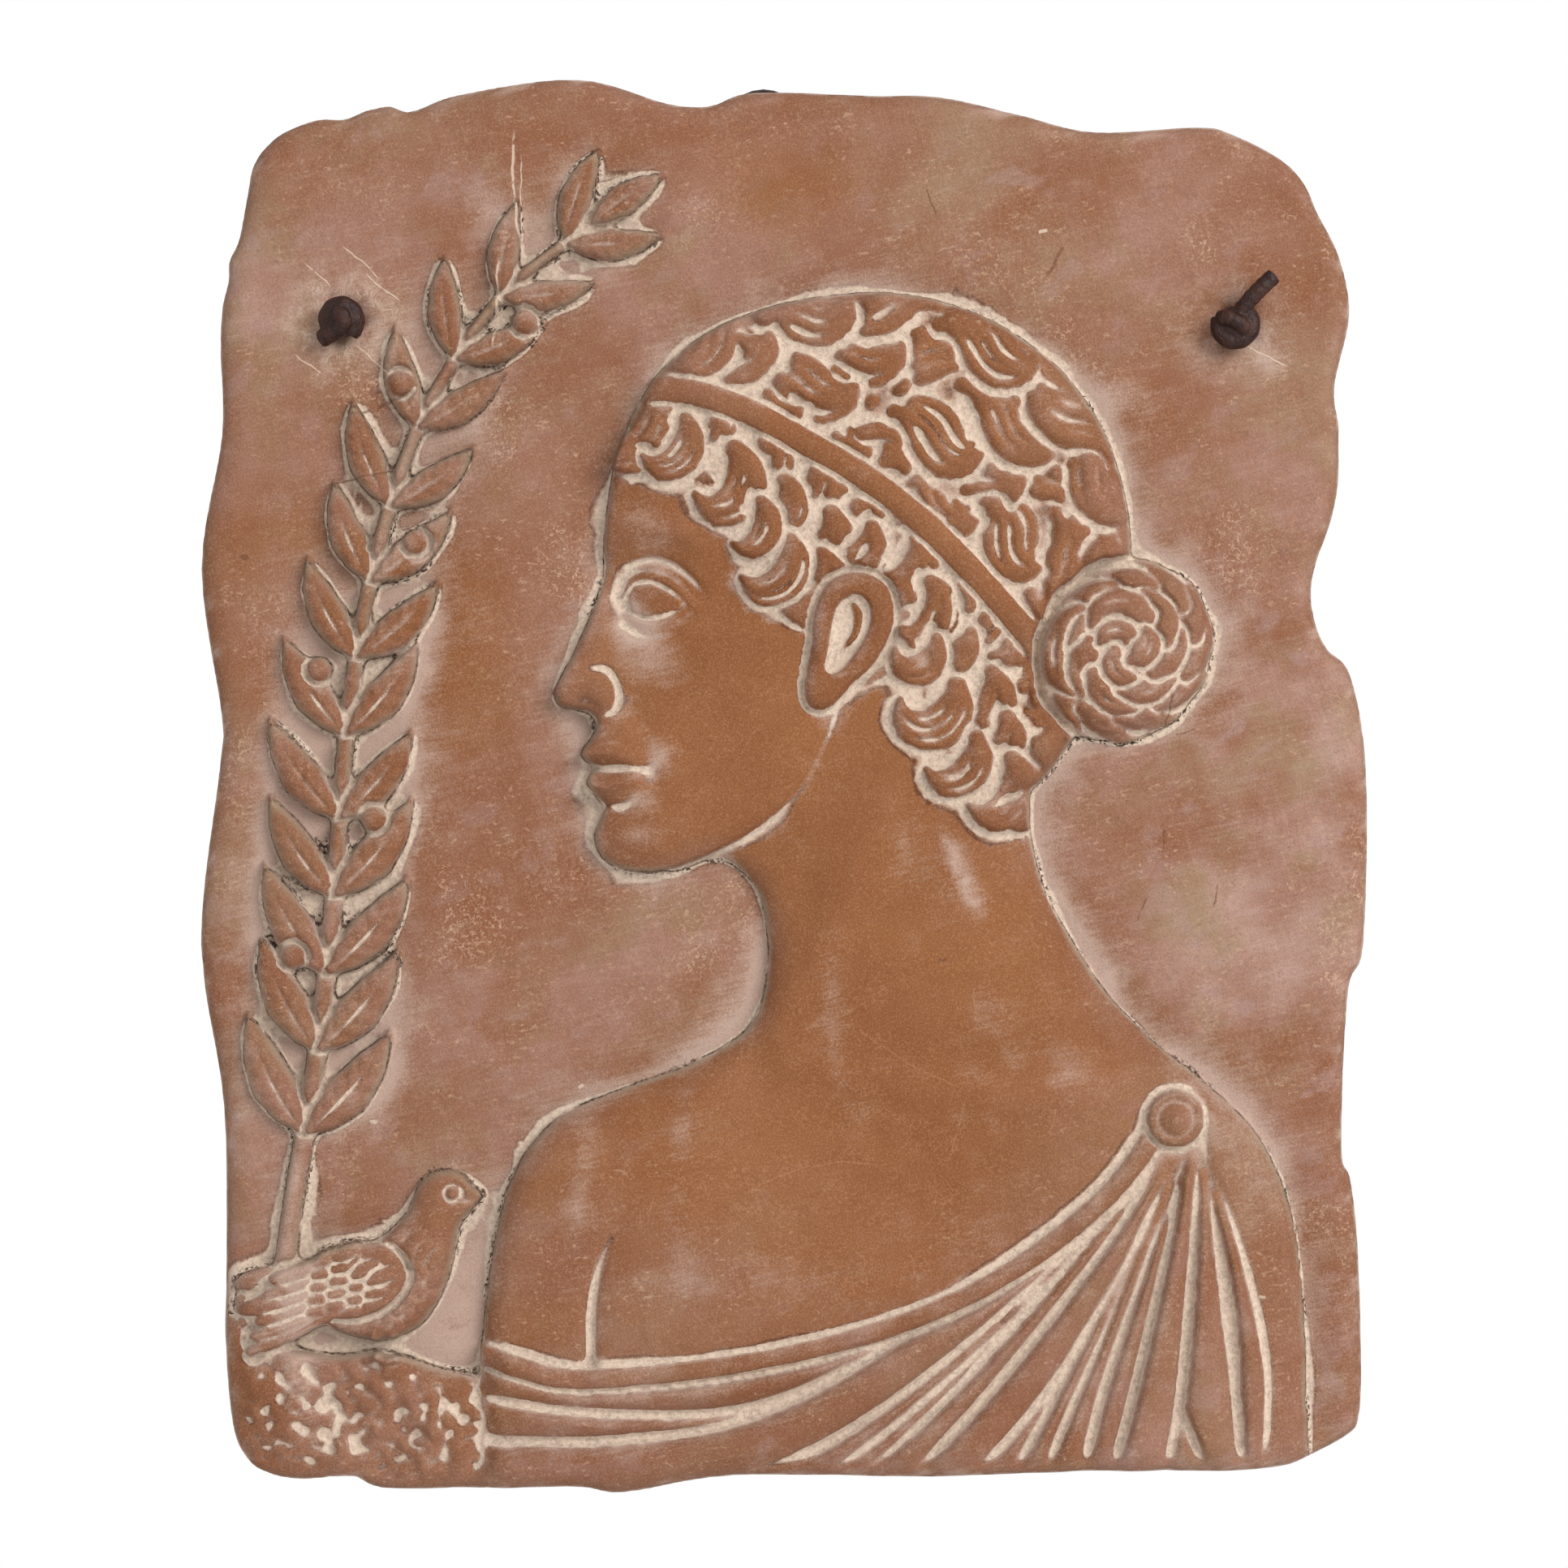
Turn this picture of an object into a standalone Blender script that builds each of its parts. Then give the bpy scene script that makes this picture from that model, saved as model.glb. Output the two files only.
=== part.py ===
"""Terracotta wall plaque: a profile bust, a laurel branch and a dove in low relief.

The plaque is one fired slab with worn, wavy edges. It hangs on a leather lace that is
knotted in front of two holes and runs behind the slab over a nail.

X is to the right, Y to the back and Z up. The origin is where the nail carries the lace.
The relief is worked on the slab's own plane in millimetres, x to the right and z up from
the slab's centre, as a height map that is painted from the back forwards. A grid, warped
to the slab's outline, then takes its heights.
"""
import math

import bmesh
import bpy
import numpy as np
from mathutils import Matrix, Vector

MM = 0.001
TAU = 2 * math.pi

# ---- slab -------------------------------------------------------------------------
THICKNESS = 16.0         # back to the plain ground of the relief
BACK_GAP = 5.0           # from the lace's centre line to the slab's back
RIM_DROP = 3.6           # how far the worn front edge falls away
RIM_RUN = 6.0            # and over what width
RIM_CALM = 3.0           # spread of the carving, where it is worn flat there
BACK_ROUND = 2.5         # the softer edge behind
WALL_STEPS = 5           # rows of faces round the side
GRID_PITCH = 1.35        # spacing of the grid before it is thinned out
GRID_SIZE = (264.0, 320.0)
SIDE_POINTS = 400        # on each side of the outline, for the grid
SPAN_STEPS = 6           # on the outline, from one of its points to the next
PLAQUE_TRIANGLES = 7900
HOLE_RADIUS = 3.4
HOLE_SIDES = 16
HOLES = ((-102.0, 107.0), (104.0, 106.0))
PAD_RADIUS = 9.0         # flat ground round a hole, where the knot bears
PAD_LEVEL = -0.3

# ---- lace -------------------------------------------------------------------------
LACE_RADIUS = 2.0
NAIL = (-5.0, 160.5)     # underside of the lace at the nail, on the slab's plane
KNOT_RADIUS = 5.6
KNOT_DEPTH = 8.0
KNOT_GAP = 0.4
TAIL_LENGTH = 15.2       # end of the lace, from the middle of the right-hand knot
TAIL_LEAN = math.radians(51.7)
STUB_LENGTH = 6.6        # and of the left-hand one
STUB_LEAN = math.radians(221)
# x, y and z of the lace's centre line, y from the lace's own plane behind the slab
LACE_ROUTE = [(-102, -24.7, 107), (-102, -18, 107), (-102, -13, 107), (-101.9, -8, 107.1),
              (-101.1, -4, 107.5), (-98.5, -1.1, 109), (-95.1, 0, 111), (-85, 0, 116.9),
              (-70, 0, 125.7), (-50, 0, 137.4), (-30, 0, 149.1), (-17, 0, 156.7),
              (-9, 0, 161.4), (-5, 0, 162.5), (-1.3, 0, 161.6), (6, 0, 157.7),
              (20, 0, 150.3), (40, 0, 139.8), (60, 0, 129.2), (78, 0, 119.7),
              (90, 0, 113.3), (96.9, 0, 109.7), (100.5, -1.1, 107.8), (103, -4, 106.5),
              (103.9, -8, 106.1), (104, -13, 106), (104, -18, 106), (104, -24.7, 106)]
LACE_POINTS = 66
TAIL_LIFT = 0.6          # of the ends, over the middle of their knots

# ---- worn outline of the slab, clockwise from the top left corner ------------------
TOP = [(-120.4, 148), (-116, 151.5), (-108.5, 154.3), (-102, 154.5), (-97, 156.5), (-92, 157.5),
       (-86.5, 156.3), (-75, 160.2), (-48, 163.6), (-27, 158), (-17, 157.6), (-7, 160.6),
       (20, 159.9), (36, 159.6), (54, 155.6), (72, 151.4), (96, 152.6), (104, 151), (115, 145.4)]
RIGHT = [(120.6, 139.8), (124, 132.5), (129, 122.2), (131.3, 109), (127.8, 92), (129, 81),
         (128, 65), (122.8, 48.5), (123, 39), (126, 31.5), (131.6, 25), (135.2, 3), (134.6, -37),
         (131, -48.5), (129.5, -84), (131.6, -92), (133.2, -107), (134, -134), (133.5, -146.5)]
BOTTOM = [(131, -151), (121, -156), (108, -158), (76, -158), (34, -159.4), (-12, -159.2),
          (-37, -163), (-50, -161.5), (-90, -163.2), (-100, -160.3), (-112, -161.2)]
LEFT = [(-119, -160), (-124.6, -156), (-128, -146), (-129.6, -122), (-130, -76),
        (-135.4, -37), (-131, 4), (-130.6, 16), (-135.3, 50), (-130.6, 81), (-130.9, 100),
        (-130.6, 110), (-129.1, 117), (-128.9, 121.5), (-126.7, 126.5), (-124.8, 136.5),
        (-123.4, 143.5)]

# ---- head, in its own frame: chin at the height 0, drawn HEAD_SCALE larger ---------
HEAD_SCALE = 1.08
HEAD_PLACE = np.array([14.0, -20.0])
PROFILE = [(-45.5, 97), (-49, 88), (-50.8, 78), (-51.6, 70), (-51.6, 64), (-54, 56),
           (-57.6, 47.5), (-61.3, 40.5), (-62.3, 37.6), (-60.6, 34.9), (-56, 34.2),
           (-53.4, 32.6), (-53.4, 30), (-55, 27.4), (-56.6, 25.2), (-55.4, 23.1),
           (-53, 22.1), (-54.6, 20.8), (-55.3, 18.4), (-53.2, 15.8), (-51.6, 13.6),
           (-52.6, 10.6), (-53.6, 7), (-52, 2.6), (-47.5, 0)]
JAW = [(-47.5, 0), (-40, -0.2), (-30, 3), (-19, 9), (-9.5, 17.5), (-3.5, 28), (0, 38)]
CROWN = [(-45.5, 97.5), (-39, 107.5), (-26, 117), (-8, 122.5), (12, 123.5), (30, 118.5),
         (45, 108.5), (55, 95), (60.5, 78), (61, 60), (57, 44), (50, 30), (42, 19), (34, 15)]
HAIRLINE = [(-46.5, 95.5), (-40, 91.5), (-31, 86), (-23.5, 78.5), (-18.5, 70), (-14, 62),
            (-8, 59), (-2, 66), (6, 67.5), (12, 60), (14.5, 50), (16, 39), (19.5, 28),
            (27, 19), (37, 15)]
FILLET = [(-43, 103), (-32, 101.8), (-20, 97.5), (-8, 91), (4, 84), (15, 75.5),
          (25, 66), (34, 56), (42.5, 45.5), (50, 33)]
NECK_FRONT = [(-10, 50), (-38, 3), (-27, 2.5), (-19.5, -3), (-16.6, -13), (-17, -25),
              (-21, -34)]
NECK_BACK = [(50, -17), (42.5, -3), (39.5, 13), (41, 30), (30, 60)]
LOCK_ROWS = 4            # of long locks over the crown
LOCKS_ALONG = 9
LOCK_LENGTH = 25.0
CURL_PITCH = 10.2        # of the curls at the temple
COIL = (60, 47)          # the knot of hair
COIL_RADIUS = 19.0
COIL_STRETCH = np.array([1.08, 0.92])
COIL_TURN = math.radians(35)
EAR = [(-5.5, -2), (-6.3, 5), (-4.5, 12), (1.5, 15.4), (8, 13.5), (10.8, 6.5), (9.2, -2),
       (5, -8.5), (1.5, -14), (-2.5, -15.2), (-5, -11.5)]
EAR_HOLLOW = [(-2.4, 1), (-2.2, 7), (0.8, 10.6), (4.6, 9.6), (6.2, 5), (4.8, -1), (2.2, -6),
              (-0.6, -7.4), (-2.2, -5)]
EAR_PLACE = np.array([-1.5, 49.0])
EAR_TILT = math.radians(-12)

# ---- body, dress, branch, dove and rock, on the slab's plane ------------------------
SHOULDERS = [(-20, -64), (-36, -70), (-52, -77), (-62, -89), (-67, -106), (-70, -130),
             (-70, -152), (-68, -182), (0, -182), (80, -182), (121, -182), (121, -150),
             (120, -120), (117, -98), (110, -82), (98, -69.5), (86, -60), (76, -50)]
BROOCH = np.array([90.0, -77.0])
BROOCH_RADIUS = 6.6
NECKLINE = [(90, -74), (72, -97), (40, -119), (-2, -132), (-44, -137), (-62, -134), (-80, -128)]
HEM_HALF = 2.5
FOLDS = 10                # deep ones, with a shallow one between two of them
STEM = [(-117, -126), (-114, -100), (-108, -62), (-104, -24), (-101, 14), (-95, 50),
        (-84, 84), (-66, 112), (-44, 130)]
LEAF_PAIRS = 13
LEAF_LENGTH = 29.0
LEAF_HALF = 5.2
BERRIES = ((0.31, 1), (0.43, -1), (0.55, 1), (0.67, -1), (0.79, 1), (0.89, -1))
BERRY_RADIUS = 3.1
ROCK = [(-140, -118), (-128, -123), (-117, -129), (-104, -132), (-92, -131), (-80, -135),
        (-68, -138), (-58, -146), (-56, -182), (-150, -182), (-150, -122)]
DOVE_PLACE = np.array([-96.5, -112.0])
DOVE_SCALE = 0.90


# ---- lines --------------------------------------------------------------------------
def smooth(points, per_span=8, closed=False):
    """A Catmull-Rom curve through the points."""
    p = np.asarray(points, float)
    if closed:
        q = np.vstack([p[-1], p, p[:2]])
        spans = len(p)
    else:
        q = np.vstack([2 * p[0] - p[1], p, 2 * p[-1] - p[-2]])
        spans = len(p) - 1
    t = np.arange(per_span)[:, None] / per_span
    runs = []
    for k in range(spans):
        a, b, c, d = q[k:k + 4]
        bend = (2 * a - 5 * b + 4 * c - d) * t ** 2 + (3 * b - a - 3 * c + d) * t ** 3
        runs.append(0.5 * (2 * b + (c - a) * t + bend))
    line = np.vstack(runs)
    return np.vstack([line, line[:1] if closed else p[-1:]])


def spaced(line, count):
    """The same line as evenly spaced points."""
    line = np.asarray(line, float)
    walked = np.concatenate([[0], np.cumsum(np.linalg.norm(np.diff(line, axis=0), axis=1))])
    at = np.linspace(0, walked[-1], count)
    return np.stack([np.interp(at, walked, axis) for axis in line.T], 1)


def curl(root, heading, length, turn, points=14, tighten=1.2):
    """A line that starts at root along heading and turns by turn over its length."""
    share = (np.arange(points) + 0.5) / points
    angle = heading + turn * share ** tighten
    steps = length / points * np.stack([np.cos(angle), np.sin(angle)], 1)
    return np.vstack([root, np.asarray(root) + np.cumsum(steps, 0)])


def closed_ring(*lines):
    """The lines end to end, back to the first point."""
    ring = np.vstack(lines)
    return np.vstack([ring, ring[:1]])


def on_head(points):
    """From the head's own frame to the slab's plane."""
    return HEAD_PLACE + HEAD_SCALE * np.asarray(points, float)


def on_dove(points):
    """From the dove's own frame to the slab's plane."""
    return DOVE_PLACE + DOVE_SCALE * np.asarray(points, float)


def dome(share):
    """1 in the middle of a strip, round down to 0 at its edges (share -1 and 1)."""
    return np.sqrt(np.clip(1 - share * share, 0, 1))


def roll(depth, run):
    """Quarter round: 0 at an edge, 1 from run inwards."""
    return dome(1 - np.clip(depth / run, 0, 1))


def ease(share):
    """Smooth step from 0 to 1."""
    share = np.clip(share, 0, 1)
    return share * share * (3 - 2 * share)


def bell(distance, width):
    """1 on a line, falling softly over a width."""
    return np.exp(-(distance / width) ** 2)


# ---- the height map -----------------------------------------------------------------
class Clay:
    """Heights over the slab's plane, and where the raised figures are."""

    def __init__(self, pitch, half_width=141.0, half_height=170.0):
        self.pitch = pitch
        self.x = np.arange(-half_width, half_width + pitch / 2, pitch)
        self.z = np.arange(-half_height, half_height + pitch / 2, pitch)
        self.height = np.zeros((len(self.z), len(self.x)))
        self.raised = np.zeros(self.height.shape, bool)

    def window(self, low, high):
        """Rows and columns between two corners."""
        rows = np.searchsorted(self.z, (low[1], high[1]))
        columns = np.searchsorted(self.x, (low[0], high[0]))
        return slice(*rows), slice(*columns)

    def trace(self, line, reach):
        """For each point near a line: window, distance, share along it, and its side."""
        line = np.asarray(line, float)
        win = self.window(line.min(0) - reach, line.max(0) + reach)
        x, z = self.x[win[1]], self.z[win[0]]
        distance = np.full((len(z), len(x)), float(reach))
        share = np.zeros_like(distance)
        side = np.ones_like(distance)
        lengths = np.hypot(*np.diff(line, axis=0).T)
        walked = np.concatenate([[0], np.cumsum(lengths)]) / lengths.sum()
        for k, length in enumerate(lengths):
            if length == 0:
                continue
            a, d = line[k], line[k + 1] - line[k]
            rows = slice(*np.searchsorted(z, (min(a[1], a[1] + d[1]) - reach,
                                              max(a[1], a[1] + d[1]) + reach)))
            columns = slice(*np.searchsorted(x, (min(a[0], a[0] + d[0]) - reach,
                                                 max(a[0], a[0] + d[0]) + reach)))
            gx = x[columns][None, :] - a[0]
            gz = z[rows][:, None] - a[1]
            t = np.clip((gx * d[0] + gz * d[1]) / length ** 2, 0, 1)
            far = np.hypot(gx - t * d[0], gz - t * d[1])
            near = far < distance[rows, columns]
            distance[rows, columns][near] = far[near]
            share[rows, columns][near] = (walked[k] + t * (walked[k + 1] - walked[k]))[near]
            side[rows, columns][near] = np.where(d[0] * gz >= d[1] * gx, 1.0, -1.0)[near]
        return win, distance, share, side

    def depth(self, ring, reach):
        """Window and depth inside a closed ring, negative outside it."""
        win, distance, _, _ = self.trace(ring, reach)
        x, z = self.x[win[1]], self.z[win[0]]
        within = np.zeros(distance.shape, bool)
        for (ax, az), (bx, bz) in zip(ring[:-1], ring[1:]):
            rows = np.where((az > z) != (bz > z))[0]
            if len(rows):
                crossing = ax + (z[rows] - az) / (bz - az) * (bx - ax)
                within[rows] ^= x[None, :] < crossing[:, None]
        return win, np.where(within, distance, -distance)

    def everywhere(self, win, values, beyond):
        """A window's values as a whole map."""
        whole = np.full(self.height.shape, beyond)
        whole[win] = values
        return whole

    def lay(self, win, mask, height):
        """Put clay down where the mask says."""
        self.height[win] = np.where(mask, height, self.height[win])
        self.raised[win] |= mask

    def swell(self, centre, radii, rise, turn=0.0, within=None, power=1.0):
        """Raise (or hollow, rise < 0) a soft mound."""
        centre = np.asarray(centre, float)
        reach = 3.2 * max(radii)
        win = self.window(centre - reach, centre + reach)
        dx = self.x[win[1]][None, :] - centre[0]
        dz = self.z[win[0]][:, None] - centre[1]
        u = (dx * math.cos(turn) + dz * math.sin(turn)) / radii[0]
        v = (dz * math.cos(turn) - dx * math.sin(turn)) / radii[1]
        mound = rise * np.exp(-0.5 * (u * u + v * v) ** power)
        self.height[win] += mound if within is None else mound * within[win]

    def score(self, line, width, rise, within=None, taper=(1, 1)):
        """Raise a soft ridge along a line, or sink a groove (rise < 0)."""
        win, distance, share, _ = self.trace(line, 3.2 * width)
        amount = rise * bell(distance, width)
        amount *= np.interp(share, np.linspace(0, 1, len(taper)), taper)
        self.height[win] += amount if within is None else amount * within[win]

    def cap(self, win, mask, level):
        """Cut raised clay down to a level where the mask says."""
        mask = mask & self.raised[win]
        self.height[win] = np.where(mask, np.minimum(self.height[win], level), self.height[win])

    def strip(self, line, half, taper, base, section, gutter=0.25, gap=1.2, within=None,
              lean=0.0):
        """Lay a strip along a line: its half-width follows taper, its height section.

        The cut beside it has its own width and level, and leans to the right of the line.
        """
        win, distance, share, side = self.trace(line, half + gap * (1 + lean))
        width = half * np.interp(share, *taper)
        mask = distance < width
        beside = (distance < width + gap * (1 - lean * side)) & ~mask & self.raised[win]
        if within is not None:
            mask &= within[win]
            beside &= within[win]
        floor = base[win]
        self.height[win] = np.where(beside, np.minimum(self.height[win], floor + gutter),
                                    self.height[win])
        across = np.clip(side * distance / np.maximum(width, 1e-6), -1, 1)
        self.lay(win, mask, floor + section(across, share))

    def blurred(self, field, sigma):
        """Gaussian blur, sigma in millimetres."""
        pad = int(3 * sigma / self.pitch) + 1
        padded = np.pad(field, pad, mode="edge")
        fz = np.fft.fftfreq(padded.shape[0])[:, None]
        fx = np.fft.rfftfreq(padded.shape[1])[None, :]
        falloff = np.exp(-2 * (math.pi * sigma / self.pitch) ** 2 * (fz ** 2 + fx ** 2))
        out = np.fft.irfft2(np.fft.rfft2(padded) * falloff, s=padded.shape)
        return out[pad:-pad, pad:-pad]

    def noise(self, size, seed):
        """Smooth noise with lumps of a size in millimetres, the same at any pitch."""
        def weights(places):
            cell = np.floor(places).astype(int)
            f = places - cell
            curve = [(1 - f) ** 3, 3 * f ** 3 - 6 * f ** 2 + 4,
                     -3 * f ** 3 + 3 * f ** 2 + 3 * f + 1, f ** 3]
            return cell, np.stack(curve) / 6
        column, across = weights((self.x - self.x[0]) / size)
        row, up = weights((self.z - self.z[0]) / size)
        knots = np.random.default_rng(seed).standard_normal((row[-1] + 4, column[-1] + 4))
        rows = sum(up[k][:, None] * knots[row + k] for k in range(4))
        return sum(across[k][None, :] * rows[:, column + k] for k in range(4)) / 0.48


# ---- sections of the strips ---------------------------------------------------------
def lock_section(rise, cuts=()):
    """A lock of hair or a feather: round, fading at its ends, and cut along.

    A cut has its place across, its depth, the shares along where it starts and ends, and
    its half-width.
    """
    def section(across, share):
        fade = np.interp(share, [0, 0.1, 0.5, 1], [0.55, 0.9, 1, 0.75])
        height = 0.3 + rise * dome(across) * fade
        for place, depth, start, end, width in cuts:
            reach = ease((share - start) / 0.25) * ease((end - share) / 0.3)
            height -= depth * reach * bell(across - place, width * (0.5 + 0.5 * reach))
        return height
    return section


def combed(rng, rise, count, depth, width=0.14):
    """The section of a lock that is cut along by grooves, no two of them alike."""
    cuts = []
    for place in np.linspace(-1, 1, count + 2)[1:-1]:
        chance = rng.random(4)
        cuts.append((place + 0.08 * rng.standard_normal(), depth * (0.55 + 0.45 * chance[0]),
                     0.02 + 0.25 * chance[1], 0.75 + 0.27 * chance[2],
                     width * (0.8 + 0.8 * chance[3])))
    return lock_section(rise, cuts)


def leaf_section(rise):
    """A laurel blade with a groove for its midrib."""
    def section(across, share):
        body = np.sqrt(np.clip(1 - np.abs(across) ** 2.2, 0, 1))
        fade = np.interp(share, [0, 0.2, 0.6, 1], [0.7, 1, 1, 0.7])
        return 0.9 + rise * body * fade - 0.95 * bell(across, 0.13)
    return section


def fold_section(rise):
    """A fold of cloth, steeper on one side."""
    def section(across, share):
        crown = np.sqrt(np.clip(1 - (np.abs(across + 0.25) / 1.25) ** 1.8, 0, 1))
        return rise * crown * np.interp(share, [0, 0.1, 0.5, 1], [0.5, 0.9, 1, 0.85]) - 0.5
    return section


LOCK_TAPER = ([0, 0.18, 0.45, 0.75, 1], [0.45, 0.85, 1, 0.8, 0.15])
FEATHER_TAPER = ([0, 0.18, 0.45, 0.75, 1], [0.8, 0.85, 1, 0.95, 0.6])
WAVE_TAPER = ([0, 0.15, 0.4, 0.7, 0.9, 1], [0.25, 0.72, 1, 0.95, 0.55, 0.1])
LEAF_TAPER = ([0, 0.12, 0.4, 0.7, 1], [0.18, 0.62, 1, 0.72, 0.06])


# ---- bust ---------------------------------------------------------------------------
def model_body(clay):
    """Neck, shoulders and breast: one silhouette, softly muscled."""
    torso = smooth(np.vstack([on_head(NECK_FRONT), SHOULDERS, on_head(NECK_BACK)]), 8, True)
    win, depth = clay.depth(torso, 26)
    clay.lay(win, depth > 0, 4.4 * roll(depth, 6.5) + 2.0 * ease(depth / 24))
    body = clay.raised.copy()
    clay.swell(on_head((12, -4)), (30, 22), -1.1, within=body)
    neck_muscle = smooth(on_head([(12, 26), (2, 2), (-8, -20), (-15, -36)]))
    clay.score(neck_muscle, 6.0, 1.5, body, (0.4, 1, 1, 0.4))
    pit = on_head((-19, -41))
    for end, rise in ((np.array([-52, -78]), 1.0), (np.array([92, -72]), 0.9)):
        start = pit + [math.copysign(3, end[0]), -1]
        collarbone = smooth([start, 0.5 * (pit + end) - [0, 5], end], 10)
        clay.score(collarbone, 3.6, rise, body, (0.3, 1, 1, 0))
        clay.score(collarbone + [0, 8.5], 5.5, -0.8, body, (0, 1, 0))
    clay.swell(pit - [0, 1], (4.5, 4), -1.3, within=body)
    clay.swell((-48, -94), (16, 16), 1.4, within=body)
    clay.swell((4, -112), (28, 18), 1.5, within=body)
    crease = smooth([(-33, -94), (-40, -104), (-44.5, -117), (-45, -134)])
    clay.score(crease, 3.0, -1.4, body, (0, 0.5, 1, 0.5))
    return clay.everywhere(win, np.clip(depth, 0, None), 0.0)


def model_face(clay):
    """The head in profile, its edge crisp against the ground and soft along the jaw."""
    profile = smooth(on_head(PROFILE), 6)
    jaw = smooth(on_head(JAW), 6)
    under_hair = on_head([(30, 50), (30, 80), (10, 110), (-20, 112), (-38, 104), (-45.5, 97)])
    win, depth = clay.depth(closed_ring(profile, jaw[1:], under_hair[:-1]), 40)
    face = depth > 0
    near_profile = clay.trace(profile, 60)
    near_jaw = clay.trace(jaw, 40)
    to_profile = clay.everywhere(near_profile[0], near_profile[1], 60.0)[win]
    to_jaw = clay.everywhere(near_jaw[0], near_jaw[1], 40.0)[win]
    crown = 3.6 * (1 - np.exp(-to_profile / 15)) - 2.7 * (1 - roll(to_jaw, 11))
    weight = clay.blurred(face.astype(float), 2.2)
    crown = clay.blurred(np.where(face, crown, 0), 2.2) / np.maximum(weight, 0.05)
    clay.score(jaw[4:-8] + [1.5, -2.0], 7.5, -1.7, clay.raised, (1, 1, 1, 0.3))
    surface = 3.3 * roll(to_profile, 1.8) + crown - 0.9 * (1 - roll(to_jaw, 1.6))
    clay.lay(win, face, surface)
    within = clay.everywhere(win, face, False)
    model_eye(clay, within)
    model_nose_and_mouth(clay, within)


def model_eye(clay, face):
    """Socket, brow, eyeball and lids, and the cheek and temple round them."""
    def mound(centre, radii, rise, turn=0.0):
        clay.swell(on_head(centre), np.multiply(radii, HEAD_SCALE), rise, turn, face)

    def line(points, width, rise, taper):
        clay.score(smooth(on_head(points)), width, rise, face, taper)

    mound((-43, 60.5), (8.5, 5.4), -3.0, 0.1)
    mound((-49, 60.5), (3.6, 5.4), -1.5)
    mound((-27, 47), (11, 7.5), 1.3, -0.35)
    mound((-30, 26), (8, 9), -0.9, 0.3)
    mound((-14, 25), (9, 9), 0.6)
    mound((-33, 85), (12, 9), 0.8)
    mound((-20, 62), (6, 7), -0.8)
    line([(-50.5, 69.5), (-44, 72.5), (-36, 72), (-29, 68)], 2.8, 1.35, (1, 1, 0.9, 0.3))
    ball = smooth(on_head([(-46.2, 57.8), (-45, 60.9), (-41.6, 61.3), (-37.6, 59.4),
                           (-34, 56.8), (-37.6, 55.2), (-41.6, 54.4), (-45, 55)]), 6, True)
    win, depth = clay.depth(ball, 8)
    centre = on_head((-41.6, 57.7))
    across = (clay.x[win[1]][None, :] - centre[0]) / (7.6 * HEAD_SCALE)
    up = (clay.z[win[0]][:, None] - centre[1]) / (5.4 * HEAD_SCALE)
    orb = 2.6 * dome(np.hypot(across, up)) + 0.3 * roll(depth, 0.8) - 0.6
    clay.height[win] += np.where(depth > 0, orb, 0)
    line([(-47.4, 58.4), (-45.4, 61.9), (-41.4, 62.7), (-37, 60.9), (-33.2, 57.4),
          (-31, 55.2)], 0.9, 1.6, (0.7, 1, 1, 1, 0.8, 0.2))
    line([(-46.6, 65.0), (-41.4, 66.4), (-36, 64.8), (-31.5, 60.8), (-29, 57)], 0.8, -1.25,
         (0.4, 1, 1, 0.7, 0.1))
    line([(-46.4, 54.4), (-42, 52.6), (-37.5, 53.4), (-33.6, 56.0)], 0.8, 1.0,
         (0.6, 1, 0.9, 0.5))
    line([(-47.4, 52.4), (-43, 49.8), (-37.5, 50.2), (-32.5, 53.0)], 1.1, -0.7,
         (1, 0.9, 0.6, 0.1))


def model_nose_and_mouth(clay, face):
    """Bridge, wing and nostril of the nose, the two lips and the chin."""
    def mound(centre, radii, rise, turn=0.0, power=1.0):
        clay.swell(on_head(centre), np.multiply(radii, HEAD_SCALE), rise, turn, face, power)

    def line(points, width, rise, taper):
        clay.score(smooth(on_head(points)), width, rise, face, taper)

    mound((-57, 44), (2.8, 9), 0.9, -0.42)
    mound((-59.3, 38.6), (3, 3), 1.1)
    mound((-52.4, 37.6), (2.9, 3.3), 2.0, power=1.6)
    line([(-54.4, 43.4), (-50.6, 42.6), (-48.4, 38.6), (-49, 34.6), (-51.6, 33)], 0.85,
         -1.25, (0.2, 0.9, 1, 1, 0.6))
    line([(-57.6, 35.9), (-54.9, 36.1), (-53, 34.9)], 0.8, -1.2, (0.5, 1, 0.7))
    line([(-46.2, 36), (-42.8, 30.5), (-41.2, 25)], 3.0, -0.7, (1, 0.8, 0.2))
    mound((-50, 22), (8, 7.5), 0.9)
    line([(-56.2, 25), (-51.6, 25.4), (-47, 23.9), (-43.4, 22.2)], 1.8, 1.35, (1, 1, 0.8, 0.1))
    line([(-55.2, 18.7), (-51.2, 18.1), (-46.6, 19.5), (-43.6, 21.5)], 2.15, 1.5,
         (1, 1, 0.8, 0.1))
    line([(-54.8, 22.1), (-51, 21.7), (-47, 21.9), (-42.6, 21.5)], 0.8, -1.7, (1, 1, 1, 0.6))
    mound((-41.2, 21.2), (1.8, 2.2), -1.1)
    line([(-52.0, 14), (-48, 13.4), (-44.4, 15.2)], 1.9, -1.5, (1, 0.9, 0.2))
    mound((-47.2, 7), (5, 5), 1.2)


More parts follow.
